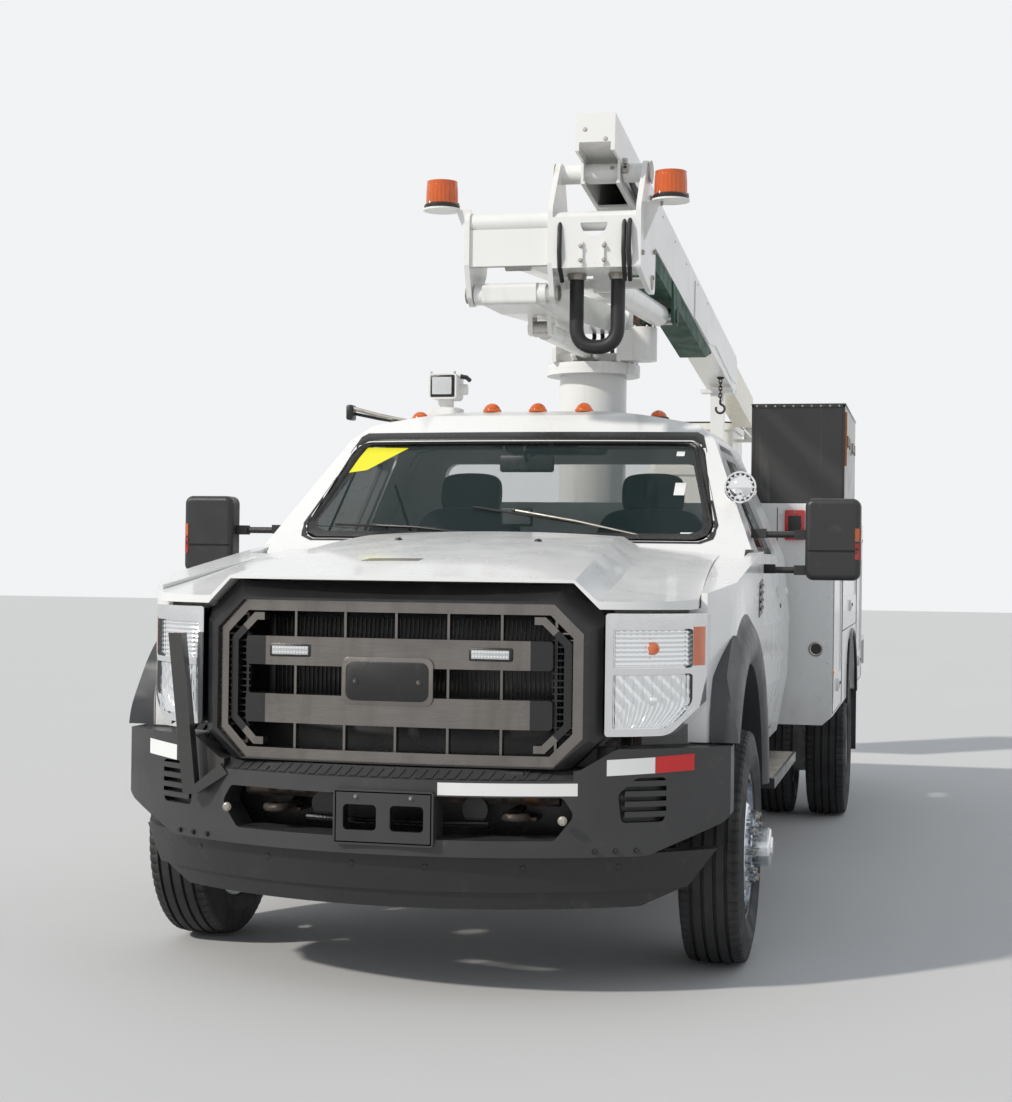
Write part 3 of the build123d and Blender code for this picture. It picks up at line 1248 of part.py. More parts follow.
def cylinder_pair(foot, lug, bore_r, rod_r, x, half, pin_r, eye_r, eye_half, closed):
    """A lift cylinder's barrel, pinned at its foot, and its rod with an eye, drawn closed."""
    dy, dz = lug[0] - foot[0], lug[1] - foot[1]
    length = hypot(dy, dz)
    tilt = degrees(atan2(dz, dy))
    barrel_end = length - closed
    barrel = rod_y(bore_r, 0, pin_r + 12, barrel_end, 0) + rod_x(pin_r + 16, -half, half, 0, 0)
    barrel -= rod_x(pin_r + FIT, -half - 1, half + 1, 0, 0)
    barrel -= rod_y(rod_r + FIT, 0, pin_r + 50, barrel_end + 1, 0)
    rod = rod_y(rod_r, 0, pin_r + 60, length - eye_r / 2, 0)
    rod += rod_x(eye_r, -eye_half, eye_half, length, 0)
    place = Pos(x, foot[0], foot[1]) * Rot(tilt, 0, 0)
    return place * barrel, place * rod


def all_nodes():
    """Every piece by its node's name, in front axle coordinates."""
    walls = cab_walls()
    door = cab_door(walls)
    glass = door_glass()
    mirror_left = mirror_head()
    side = body_side()
    lower_barrel, lower_rod = cylinder_pair(
        LOWER_FOOT, lower_lug(), 40, 24, 0, 28, 18, 34, 31.5, 70
    )
    upper_barrel, upper_rod = cylinder_pair(
        UPPER_FOOT, upper_point(UPPER_LUG_ALONG, UPPER_LUG_DOWN), 54, 34, UPPER_X, 50, 22, 40, 62, 90
    )
    nodes = {
        "chassis_frame": chassis_frame(),
        "engine_block": engine_block(),
        "front_axle": front_axle(),
        "rear_axle": rear_axle(),
        "fuel_tank": fuel_tank(),
        "cab_shell": cab_shell(walls),
        "cab_glass": cab_glass(),
        "seats": bench_seats(),
        "dashboard": dashboard(),
        "front_fenders": front_fenders(),
        "grille_surround": grille_surround(),
        "grille_insert": grille_insert(),
        "headlamps": headlamps(),
        "front_bumper": front_bumper(),
        "roof_lamps": roof_lamps(),
        "tail_lamps": tail_lamps(),
        "running_boards": running_boards(),
        "body_left": side,
        "body_right": other_side(side),
        "body_deck": body_deck(),
        "top_box": top_box(),
        "pedestal": pedestal(),
        "hood": hood(),
        "door_left": door,
        "door_right": other_side(door),
        "door_glass_left": glass,
        "door_glass_right": other_side(glass),
        "mirror_left": mirror_left,
        "mirror_right": other_side(mirror_left),
        "turret": turret(),
        "lower_boom": lower_boom(),
        "comp_link": comp_link(),
        "elbow": elbow(),
        "beacons": beacons(),
        "hose": hose(),
        "work_lights": work_lights(),
        "upper_boom": upper_boom(),
        "inner_boom": inner_boom(),
        "bucket_mount": bucket_mount(),
        "bucket": bucket(),
        "lower_cylinder": lower_barrel,
        "lower_cylinder_rod": lower_rod,
        "upper_cylinder": upper_barrel,
        "upper_cylinder_rod": upper_rod,
    }
    for name, sign in (("left", 1), ("right", -1)):
        nodes["knuckle_" + name] = knuckle(sign)
        nodes["tyre_front_" + name] = tyre(sign * FRONT_WHEEL_X, 0)
        nodes["wheel_front_" + name] = front_rim(sign * FRONT_WHEEL_X)
        twin = tyre(sign * REAR_OUTER_X, WHEELBASE) + tyre(sign * REAR_INNER_X, WHEELBASE)
        nodes["tyres_rear_" + name] = twin
        nodes["wheels_rear_" + name] = rear_rims(sign)
    for name, y0, y1, z0, z1, hinge_edge in DOORS:
        leaf = body_door(y0, y1, z0, z1, hinge_edge)
        nodes["body_door_left_" + name] = leaf
        nodes["body_door_right_" + name] = other_side(leaf)
    return nodes


os.makedirs("parts", exist_ok=True)
for node, solid in all_nodes().items():
    export_step(Pos(0, SHIFT_Y, 0) * solid, "parts/" + node + ".step")
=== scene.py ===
"""Finishes, fittings and stage of a cherry picker truck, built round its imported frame."""

import math

import bmesh
import bpy
from bpy.props import FloatProperty, FloatVectorProperty, IntProperty, PointerProperty
from mathutils import Matrix, Vector
from mathutils.bvhtree import BVHTree


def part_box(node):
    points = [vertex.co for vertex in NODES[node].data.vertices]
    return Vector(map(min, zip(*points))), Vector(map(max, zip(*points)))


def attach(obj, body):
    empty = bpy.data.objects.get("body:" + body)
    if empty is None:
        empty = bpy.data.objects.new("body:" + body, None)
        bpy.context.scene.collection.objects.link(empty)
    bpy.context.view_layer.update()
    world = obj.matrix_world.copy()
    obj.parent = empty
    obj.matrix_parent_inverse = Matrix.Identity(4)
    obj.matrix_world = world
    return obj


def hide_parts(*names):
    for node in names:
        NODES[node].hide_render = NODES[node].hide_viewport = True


bl_info = {
    "name": "Cherry picker truck",
    "version": (1, 0, 0),
    "blender": (4, 5, 0),
    "location": "View3D > Sidebar > Truck",
    "description": "Dresses a cherry picker truck's frame with its finishes and fittings",
    "category": "Object",
}

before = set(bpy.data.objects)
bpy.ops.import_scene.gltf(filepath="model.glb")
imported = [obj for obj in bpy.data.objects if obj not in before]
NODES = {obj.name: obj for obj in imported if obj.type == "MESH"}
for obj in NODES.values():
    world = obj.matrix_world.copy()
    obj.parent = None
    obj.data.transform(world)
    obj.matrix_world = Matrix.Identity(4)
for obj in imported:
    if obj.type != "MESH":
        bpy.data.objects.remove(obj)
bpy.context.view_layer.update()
SIDES = (("left", 1), ("right", -1))
BOTH = ((-1,), (1,))
FLANKS = {1: "driver", -1: "passenger"}
FORWARD, REARWARD, UP = (0, -1, 0), (0, 1, 0), (0, 0, 1)


def middle(node):
    """The middle of a CAD node's box, in the frame's metres."""
    low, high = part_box(node)
    return (low + high) / 2


AXLE_Y = middle("wheel_front_left").y
WHEELBASE = (middle("wheels_rear_left").y - AXLE_Y) * 1000


def at(x, y, z):
    """A point given in millimetres from the front axle, in the frame's metres."""
    return Vector((x / 1000, y / 1000 + AXLE_Y, z / 1000))


def back(point):
    """A point of the frame in millimetres from the front axle."""
    return Vector((point.x * 1000, (point.y - AXLE_Y) * 1000, point.z * 1000))


class Finish:
    """A node material that is put together step by step."""

    def __init__(self, name, color, roughness, metallic=0.0, **sockets):
        self.name = name
        self.mat = bpy.data.materials.new("truck_" + name)
        self.mat.use_nodes = True
        self.tree = self.mat.node_tree
        self.shader = self.tree.nodes["Principled BSDF"].inputs
        self.tint = tuple(color) + (1.0,)
        self.fill(self.shader, {"Base Color": self.tint, "Roughness": roughness, "Metallic": metallic})
        self.fill(self.shader, {key.replace("_", " "): value for key, value in sockets.items()})
        self.coords = self.node("TexCoord", "Object")

    def fill(self, inputs, values):
        """Sets inputs to plain values, or links them to other nodes' outputs."""
        for key, value in values.items():
            if isinstance(value, bpy.types.NodeSocket):
                self.tree.links.new(value, inputs[key])
            else:
                inputs[key].default_value = value

    def node(self, kind, output, values=None, **settings):
        """Adds a node with its settings and input values, and gives one of its outputs."""
        made = self.tree.nodes.new("ShaderNode" + kind)
        for key, value in settings.items():
            setattr(made, key, value)
        self.fill(made.inputs, values or {})
        return made.outputs[output]

    def noise(self, scale, low, high, detail=4.0, stretch=(1, 1, 1)):
        """A mask from 0 to 1 where noise lies between low and high."""
        spot = self.node("Mapping", "Vector", {"Scale": stretch, "Vector": self.coords})
        fac = self.node("TexNoise", "Fac", {"Scale": scale, "Detail": detail, "Vector": spot})
        return self.between(fac, low, high)

    def between(self, value, low, high, to_low=0.0, to_high=1.0):
        """Maps value from low..high to to_low..to_high, smoothly."""
        ends = {"From Min": low, "From Max": high, "To Min": to_low, "To Max": to_high}
        return self.node("MapRange", "Result", {"Value": value, **ends}, interpolation_type="SMOOTHSTEP")

    def times(self, a, b):
        return self.node("Math", 0, {0: a, 1: b}, operation="MULTIPLY")

    def stain(self, mask, color, strength=1.0):
        """Lays color over the base where mask is high."""
        mix = {"A": self.tint, "B": tuple(color) + (1.0,), "Factor": self.times(mask, strength)}
        self.tint = self.node("Mix", "Result", mix, data_type="RGBA")
        self.fill(self.shader, {"Base Color": self.tint})

    def rough(self, mask, low, high):
        """Roughness runs from low to high with the mask."""
        self.fill(self.shader, {"Roughness": self.between(mask, 0.0, 1.0, low, high)})

    def bump(self, value, strength, distance):
        values = {"Strength": strength, "Distance": distance, "Height": value}
        self.fill(self.shader, {"Normal": self.node("Bump", "Normal", values)})
        return self


def painted(name, color, roughness=0.28, grime=0.12, low_dirt=0.35, chips=0.3):
    """Paint with faint unevenness, streaks, chips and road dirt low down."""
    f = Finish(name, color, roughness, Coat_Weight=0.4, Coat_Roughness=0.08)
    f.stain(f.noise(1.1, 0.35, 0.75, 3.0), [c * 0.95 for c in color], 0.5)
    streaks = f.noise(2.0, 0.58, 0.78, 6.0, (9, 9, 0.7))
    f.stain(streaks, (0.34, 0.31, 0.26), grime)
    if low_dirt:
        down = f.between(f.node("SeparateXYZ", "Z", {0: f.coords}), 1.0, 0.5)
        low = f.times(down, f.noise(6.0, 0.34, 0.72, 8.0))
        f.stain(low, (0.20, 0.175, 0.15), low_dirt)
    if chips:
        f.stain(f.noise(95.0, 0.765, 0.785, 3.0), (0.16, 0.11, 0.08), chips)
    f.rough(f.noise(7.0, 0.3, 0.8, 5.0), roughness * 0.9, roughness * 1.25)
    return f.bump(f.noise(260.0, 0.2, 0.8, 2.0), 0.03, 0.0004)


def plastic(name, color, roughness=0.55, grain=900.0, fade=0.25):
    """Moulded plastic with a fine grain, sun fade and dust."""
    f = Finish(name, color, roughness)
    f.stain(f.noise(2.4, 0.35, 0.8, 5.0), [min(1, c * 1.8 + 0.01) for c in color], fade)
    f.stain(f.noise(14.0, 0.6, 0.8, 6.0), (0.20, 0.18, 0.16), 0.12)
    f.rough(f.noise(9.0, 0.3, 0.8), roughness * 0.85, min(1.0, roughness * 1.25))
    return f.bump(f.noise(grain, 0.3, 0.7, 2.0), 0.25, 0.0006)


def metal(name, color, roughness, brushed=(1, 1, 1), grime=0.3, rust=0.0, tarnish=None):
    """Bare or plated metal, brushed along the axis with the smallest scale."""
    f = Finish(name, color, roughness, 1.0)
    f.stain(f.noise(6.0, 0.42, 0.8, 6.0), [c * 0.55 for c in color], grime)
    if tarnish:
        f.stain(f.noise(3.0, 0.40, 0.80, 6.0, (6, 6, 0.5)), tarnish, 0.38)
    f.rough(f.noise(30.0, 0.25, 0.75, 4.0, brushed), roughness * 0.7, min(1, roughness * 1.5))
    if rust:
        f.stain(f.noise(11.0, 0.55, 0.7, 8.0), (0.16, 0.06, 0.02), rust)
    return f.bump(f.noise(160.0, 0.3, 0.7, 2.0, brushed), 0.05, 0.0004)


def lens(name, color, roughness=0.06, glow=0.0):
    """A coloured lens that lets light through."""
    f = Finish(name, color, roughness, Transmission_Weight=0.45, IOR=1.45, Coat_Weight=0.6)
    f.stain(f.noise(9.0, 0.4, 0.8), [c * 0.6 for c in color], 0.35)
    if glow:
        f.fill(f.shader, {"Emission Color": tuple(color) + (1.0,), "Emission Strength": glow})
    return f.bump(f.noise(240.0, 0.3, 0.7, 2.0), 0.05, 0.0005)


def window(name, color, alpha, dust=0.3):
    """Tinted glass, thin, that shows the inside."""
    f = Finish(name, color, 0.03, IOR=1.45, Alpha=alpha)
    f.stain(f.noise(3.0, 0.5, 0.8, 5.0), [min(1, c * 1.6 + 0.02) for c in color], dust)
    f.rough(f.noise(12.0, 0.3, 0.8, 6.0), 0.01, 0.05)
    return f.bump(f.noise(2.0, 0.3, 0.7, 2.0), 0.01, 0.0004)


def woven(name, color):
    """Seat cloth: crossed threads, with faded patches."""
    f = Finish(name, color, 0.92, Sheen_Weight=0.35)
    threads = {"Scale": 220.0, "Vector": f.coords}
    weave = f.times(*(f.node("TexWave", "Fac", threads, bands_direction=axis) for axis in "XZ"))
    f.stain(weave, [c * 1.7 for c in color], 0.6)
    f.stain(f.noise(5.0, 0.45, 0.8, 5.0), [c * 1.5 + 0.01 for c in color], 0.4)
    return f.bump(weave, 0.5, 0.0006)


def make_finishes():
    """Every finish of the truck, by its short name."""
    white = (0.80, 0.80, 0.785)
    smoke = (0.115, 0.092, 0.074)
    made = (
        painted("body_white", white, 0.3, 0.06),
        painted("boom_white", (0.79, 0.785, 0.76), 0.34, 0.3, 0.0, 0.8),
        # dark green with painted shade: the darkness of the shade under the boom is part of this colour
        plastic("boom_green_shade", (0.03, 0.08, 0.055), 0.7, 400.0, 0.3),
        painted("box_black", (0.030, 0.029, 0.028), 0.42, 0.25, 0.0, 0.3),
        painted("post_black", (0.035, 0.034, 0.033), 0.35, 0.3, 0.0, 1.0),
        painted("frame_black", (0.022, 0.021, 0.020), 0.5, 0.2, 0.8, 0.6),
        painted("gel_cream", (0.72, 0.66, 0.50), 0.3, 0.25, 0.0, 0.1),
        painted("bucket_white", (0.77, 0.75, 0.69), 0.32, 0.25, 0.0, 0.1),
        painted("rim_white", (0.72, 0.72, 0.70), 0.4, 0.4, 0.9, 0.8),
        plastic("nose_black", (0.014, 0.014, 0.015), 0.36, 700.0, 0.2),
        plastic("bumper_black", (0.034, 0.034, 0.035), 0.38, 500.0, 0.35),
        plastic("flare_grey", (0.036, 0.038, 0.042), 0.42, 900.0, 0.3),
        plastic("trim_black", (0.012, 0.012, 0.012), 0.3, 900.0, 0.15),
        plastic("mirror_black", (0.020, 0.020, 0.021), 0.42, 700.0, 0.2),
        plastic("cabin_grey", (0.085, 0.088, 0.092), 0.6, 1200.0, 0.15),
        plastic("cabin_pale", (0.30, 0.30, 0.29), 0.7, 1200.0, 0.1),
        plastic("rubber", (0.020, 0.020, 0.021), 0.72, 300.0, 0.55),
        plastic("hose_black", (0.010, 0.010, 0.011), 0.5, 260.0, 0.2),
        plastic("tape_white", (0.80, 0.80, 0.78), 0.4, 300.0, 0.03),
        plastic("tape_red", (0.58, 0.02, 0.02), 0.3, 300.0, 0.05),
        plastic("yellow", (0.80, 0.74, 0.02), 0.5, 600.0, 0.05),
        plastic("orange_strip", (0.42, 0.13, 0.03), 0.6, 600.0, 0.3),
        metal("axle_iron", (0.10, 0.085, 0.075), 0.65, (1, 1, 1), 0.6, 0.8),
        metal("pewter", (0.24, 0.222, 0.208), 0.2, (0.3, 8, 8), 0.4, 0.0, smoke),
        metal("chrome", (0.86, 0.86, 0.87), 0.06, (1, 1, 1), 0.1),
        metal("reflector", (0.88, 0.89, 0.90), 0.1, (1, 1, 1), 0.05),
        metal("alloy", (0.72, 0.76, 0.80), 0.16, (3, 3, 3), 0.3),
        metal("steel", (0.55, 0.54, 0.53), 0.3, (0.4, 8, 8), 0.4, 0.12),
        metal("zinc", (0.42, 0.40, 0.36), 0.42, (1, 1, 1), 0.5, 0.35),
        metal("mirror", (0.9, 0.9, 0.9), 0.02, (1, 1, 1), 0.02),
        window("windscreen", (0.03, 0.065, 0.065), 0.14),
        window("side_glass", (0.015, 0.03, 0.028), 0.62),
        window("lamp_cover", (0.70, 0.74, 0.76), 0.10, 0.1),
        lens("amber", (0.86, 0.16, 0.004), 0.08, 0.03),
        lens("red", (0.62, 0.015, 0.012), 0.12, 0.08),
        lens("clear", (0.85, 0.87, 0.88), 0.05, 0.0),
        woven("cloth", (0.075, 0.080, 0.088)),
    )
    return {f.name: f.mat for f in made}


FINISH = make_finishes()


SURFACES = {}
# each view: the two axes that span it, the axis that it looks along, where it starts, which way
VIEWS = {
    "front": (0, 2, 1, -1500, 1),
    "rear": (0, 2, 1, 8000, -1),
    "driver": (1, 2, 0, 1700, -1),
    "passenger": (1, 2, 0, -1700, 1),
    "above": (0, 1, 2, 3600, -1),
    "below": (0, 1, 2, -100, 1),
}


def surface(node):
    """A CAD node's faces as a tree for rays, in millimetres from the front axle."""
    if node not in SURFACES:
        piece = NODES[node]
        points = [back(piece.matrix_world @ v.co) for v in piece.data.vertices]
        SURFACES[node] = BVHTree.FromPolygons(points, [p.vertices[:] for p in piece.data.polygons])
    return SURFACES[node]


def touch(nodes, view, u, v, start=None):
    """What a line of sight first meets on a node or more: the spot, its normal and the way."""
    a, b, c, level, sign = VIEWS[view]
    eye, way = Vector((0, 0, 0)), Vector((0, 0, 0))
    eye[a], eye[b], eye[c] = u, v, level if start is None else start
    way[c] = sign
    found = None
    for node in (nodes,) if isinstance(nodes, str) else nodes:
        spot, normal, _, far = surface(node).ray_cast(eye, way)
        if spot is not None and (found is None or far < found[0]):
            found = (far, spot, normal)
    if found is None:
        raise RuntimeError(f"nothing of {nodes} lies at {u:.0f}, {v:.0f} in the {view} view")
    return found[1], found[2], way


def spots(count, radius, start=0.0, step=None):
    """Points on a circle as (across, up), a step of degrees apart or spread all round."""
    step = 360 / count if step is None else step
    turns = [math.radians(start + step * k) for k in range(count)]
    return [(radius * math.cos(turn), radius * math.sin(turn)) for turn in turns]


def spread(a, b, count):
    """Evenly spread values from a to b, with count gaps between them."""
    return [a + (b - a) * k / count for k in range(count + 1)]


def oblong(u0, u1, v0, v1):
    """The corners of an upright oblong."""
    return [(u0, v0), (u1, v0), (u1, v1), (u0, v1)]


def rounded(u0, u1, v0, v1, corner, steps):
    """The outline of an oblong with round corners."""
    middles = (
        (u1 - corner, v1 - corner, 0), (u0 + corner, v1 - corner, 90),
        (u0 + corner, v0 + corner, 180), (u1 - corner, v0 + corner, 270),
    )
    return [
        (u + across, v + up)
        for u, v, start in middles
        for across, up in spots(steps + 1, corner, start, 90 / steps)
    ]


class Build:
    """Collects the faces of one piece, in millimetres from the front axle."""

    def __init__(self):
        self.bm = bmesh.new()
        self.finishes = []

    def mesh(self, points, faces, finish):
        """Adds faces given as lists of point numbers."""
        if finish not in self.finishes:
            self.finishes.append(finish)
        verts = [self.bm.verts.new(at(*p)) for p in points]
        made = [self.bm.faces.new([verts[k] for k in face]) for face in faces]
        for face in made:
            face.material_index = self.finishes.index(finish)
        return made

    def grid(self, rows, finish, closed=False, ends=False):
        """Faces between rows of points; the rows may close round and have end faces."""
        count, last = len(rows[0]), len(rows) - 1
        faces = []
        for j in range(last):
            a, b = j * count, (j + 1) * count
            for i in range(count if closed else count - 1):
                k = (i + 1) % count
                faces.append((a + i, a + k, b + k, b + i))
        if ends:
            faces.append(range(count - 1, -1, -1))
            faces.append(range(last * count, (last + 1) * count))
        return self.mesh([p for row in rows for p in row], faces, finish)

    def merge(self, faces):
        """Joins the points of the faces that lie in one place."""
        verts = list({v for f in faces for v in f.verts})
        bmesh.ops.remove_doubles(self.bm, verts=verts, dist=1e-6)

    def patch(self, nodes, view, corners, finish, lift=1.5, steps=(6, 2), start=None):
        """A thin sheet on the nodes between four corners, with its rim turned down."""
        nu, nv = steps
        a, b, c, d = (Vector(corner) for corner in corners)
        rows = []
        for j in range(-1, nv + 2):
            row = []
            for i in range(-1, nu + 2):
                s, t = min(max(i, 0), nu) / nu, min(max(j, 0), nv) / nv
                u, v = a.lerp(b, s).lerp(d.lerp(c, s), t)
                spot, _, way = touch(nodes, view, u, v, start)
                rim = i in (-1, nu + 1) or j in (-1, nv + 1)
                row.append(spot + way * (1.0 if rim else -lift))
            rows.append(row)
        self.grid(rows, finish)

    def button(self, nodes, view, u, v, profile, finish, steps=24):
        """Turns (radius, height) points round a spot of a surface."""
        spot, normal, _ = touch(nodes, view, u, v)
        self.turn(profile, spot, normal, finish, steps)

    def bolt_on(self, nodes, view, u, v, finish, size=9):
        """A bolt head on a surface."""
        spot, normal, _ = touch(nodes, view, u, v)
        self.bolt(spot, normal, finish, size)

    def box(self, x, y, z, finish, bevel=0.0):
        """A block over the ranges x, y and z, with its edges rounded by bevel."""
        self.prism(oblong(*x, *y), (0, 1, 2), z, finish, bevel)

    def prism(self, corners, axes, levels, finish, bevel=0.0):
        """An outline in the first two axes, pushed along the third from level to level."""
        rows = []
        for level in levels:
            row = []
            for u, v in corners:
                point = [0, 0, 0]
                for axis, value in zip(axes, (u, v, level)):
                    point[axis] = value
                row.append(point)
            rows.append(row)
        faces = self.grid(rows, finish, closed=True, ends=True)
        if bevel:
            bmesh.ops.recalc_face_normals(self.bm, faces=faces)
            edges = {e for f in faces for e in f.edges}
            index = faces[0].material_index
            made = bmesh.ops.bevel(
                self.bm, geom=[e for e in edges if e.calc_face_angle(0) > 0.5],
                offset=bevel / 1000, segments=2, profile=0.5, affect="EDGES", clamp_overlap=True,
            )
            for face in made["faces"]:
                face.material_index = index

    def turn(self, profile, origin, axis, finish, steps=32):
        """Turns (radius, along) points about an axis through origin."""
        along = Vector(axis).normalized()
        side = along.orthogonal().normalized()
        other = along.cross(side)
        rows = []
        for c, s in spots(steps + 1, 1.0, 0.0, 360 / steps):
            out = side * c + other * s
            rows.append([Vector(origin) + out * radius + along * far for radius, far in profile])
        self.merge(self.grid(rows, finish))

    def rod(self, a, b, radius, finish, sides=16):
        """A round bar from a to b, closed at both ends."""
        way = Vector(b) - Vector(a)
        far = way.length
        self.turn([(0, 0), (radius, 0), (radius, far), (0, far)], a, way, finish, sides)

    def ball(self, centre, radius, finish, sides=20):
        """A round ball."""
        profile = [(up, -along) for along, up in spots(sides // 2 + 1, radius, 0, 360 / sides)]
        self.turn(profile, centre, UP, finish, sides)

    def bolt(self, place, axis, finish, size=9):
        """A hexagon head on a washer."""
        washer = [(0, 0), (size * 1.25, 0), (size * 1.25, 2.5), (0, 2.5)]
        head = [(0, 2), (size, 2), (size, 8), (size * 0.8, 9.5), (0, 9.5)]
        self.turn(washer, place, axis, finish, 12)
        self.turn(head, place, axis, finish, 6)

    def tube(self, points, radius, finish, sides=10):
        """A bent pipe through points, mitred at its corners."""
        points = [Vector(p) for p in points]
        rings = []
        normal = None
        for k, p in enumerate(points):
            before = (p - points[k - 1]).normalized() if k else None
            after = (points[k + 1] - p).normalized() if k < len(points) - 1 else None
            along = ((before or after) + (after or before)).normalized()
            if normal is None:
                normal = along.orthogonal()
            normal = (normal - along * normal.dot(along)).normalized()
            other = along.cross(normal)
            rings.append([p + normal * u + other * v for u, v in spots(sides, radius)])
        self.grid(rings, finish, closed=True, ends=True)

    def done(self, name, body, slot=None, smooth=35.0, subdivide=0):
        """Turns the faces into a piece that rides on a body."""
        bmesh.ops.recalc_face_normals(self.bm, faces=self.bm.faces)
        data = bpy.data.meshes.new(name)
        self.bm.to_mesh(data)
        self.bm.free()
        for finish in self.finishes:
            data.materials.append(FINISH[finish])
        data.shade_smooth()
        data.set_sharp_from_angle(angle=math.radians(smooth))
        piece = bpy.data.objects.new(name, data)
        bpy.context.scene.collection.objects.link(piece)
        if subdivide:
            modifier = piece.modifiers.new("rounded", "SUBSURF")
            modifier.levels = modifier.render_levels = subdivide
        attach(piece, body)
        return piece


def make(parts, name, body, slot=None, each=((),), **looks):
    """Makes one piece of what a function adds for each set of values."""
    build = Build()
    for values in each:
        parts(build, *values)
    return build.done(name, body, slot, **looks)


class TruckSizes(bpy.types.PropertyGroup):
    """Sizes and colours of the fittings."""

    tread_blocks: IntProperty(
        name="Tread blocks", description="Shoulder blocks round each tyre", default=72, min=24, max=120
    )
    tread_depth: FloatProperty(
        name="Tread depth", description="Depth of the tread grooves", default=0.011,
        min=0.002, max=0.02, unit="LENGTH",
    )
    tread_ribs: IntProperty(
        name="Step pad ribs", description="Slanted ribs on the bumper's step", default=30, min=6, max=60
    )
    optic_rows: IntProperty(
        name="Lamp optics", description="Rows of optics in each headlamp field", default=8, min=3, max=16
    )
    plumpness: FloatProperty(
        name="Seat plumpness", description="How far the seat cushions bulge", default=0.022,
        min=0.0, max=0.05, unit="LENGTH",
    )
    floor_color: FloatVectorProperty(
        name="Floor", description="Colour of the studio floor", subtype="COLOR",
        size=3, default=(0.60, 0.595, 0.585), min=0.0, max=1.0,
    )
    key_strength: FloatProperty(
        name="Key light", description="Strength of the sun-like key light", default=2.6, min=0.0,
    )


class Fitting:
    """What every operator here shares."""

    bl_options = {"REGISTER", "UNDO"}


# the frame's nodes by finish; the others are body_white
CAD_FINISH = {
    "boom_white": "pedestal turret lower_boom comp_link elbow upper_boom bucket_mount"
                  " lower_cylinder upper_cylinder",
    "gel_cream": "inner_boom",
    "bucket_white": "bucket",
    "nose_black": "grille_surround",
    "bumper_black": "front_bumper",
    "pewter": "grille_insert",
    "box_black": "top_box running_boards",
    "cabin_grey": "dashboard",
    "mirror_black": "mirror_left mirror_right",
    "frame_black": "chassis_frame fuel_tank",
    "axle_iron": "front_axle rear_axle engine_block knuckle_left knuckle_right",
    "alloy": "wheel_front_left wheel_front_right",
    "rim_white": "wheels_rear_left wheels_rear_right",
    "steel": "lower_cylinder_rod upper_cylinder_rod",
    "rubber": "tyre_front_left tyre_front_right tyres_rear_left tyres_rear_right",
    "hose_black": "hose",
    "windscreen": "cab_glass",
    "side_glass": "door_glass_left door_glass_right",
    "chrome": "headlamps",
    "amber": "roof_lamps beacons",
    "red": "tail_lamps",
    "cloth": "seats",
    "tape_white": "work_lights",
}
# where a solid's second finish begins
PANEL_HALF, PANEL_REAR = 690, -500
DAM_TOP = 462
PILLAR_LAMP_INNER = 500
DASH_REAR = 945
FLARE_ROUND = 745
ARCH_HEIGHT = 500
FENDER_SIDE = 1006
UPPER_PIVOT_Y, UPPER_PIVOT_Z = 800, 2945
UPPER_SLOPE = math.radians(5.55)


def second_finish(node, finish, chosen):
    """Paints the faces whose middle is chosen in another finish."""
    piece = NODES[node]
    piece.data.materials.append(FINISH[finish])
    slot = len(piece.data.materials) - 1
    for face in piece.data.polygons:
        if chosen(back(piece.matrix_world @ face.center)):
            face.material_index = slot


def soften(piece):
    """Shades pressed sheet as one skin, with only its true edges sharp."""
    attributes = piece.data.attributes
    if "custom_normal" in attributes:
        attributes.remove(attributes["custom_normal"])
    piece.data.shade_smooth()
    weld = piece.modifiers.new("one_skin", "WELD")
    weld.merge_threshold = 0.00002
    split = piece.modifiers.new("true_edges", "EDGE_SPLIT")
    split.split_angle = math.radians(32)
    piece.modifiers.new("flat_faces", "WEIGHTED_NORMAL")


def flares():
    """Only the flares reach out past the fenders' flat sides."""
    piece = NODES["front_fenders"]
    piece.data.materials.append(FINISH["flare_grey"])
    slot = len(piece.data.materials) - 1
    for face in piece.data.polygons:
        corners = [back(piece.matrix_world @ piece.data.vertices[k].co) for k in face.vertices]
        near = all(math.hypot(p.y, p.z - ARCH_HEIGHT) < FLARE_ROUND for p in corners)
        if near and max(abs(p.x) for p in corners) > FENDER_SIDE:
            face.material_index = slot


def in_panel(p):
    """The radiator panel between the fenders, painted dark as painted shade in the gaps round the grille
    and bumper.
    """
    return abs(p.x) < PANEL_HALF and p.y < PANEL_REAR


def on_housing(p):
    """The lower face of the upper boom's housing, past the elbow, painted dark green with its shade
    painted in.
    """
    distance = p.y - UPPER_PIVOT_Y
    return p.z < UPPER_PIVOT_Z - distance * math.tan(UPPER_SLOPE) - 64 and distance > 480


def on_post(p):
    """The slanted post on the passenger's end of the bumper."""
    return -775 < p.x < -540 and p.z > 604 and -882 < p.y < -834 and p.z > -2 * p.x - 960


def behind_bars(p):
    """The parts of the grille that lie behind its bars' ends."""
    return 445 < abs(p.x) < 560 and 840 < p.z < 1160


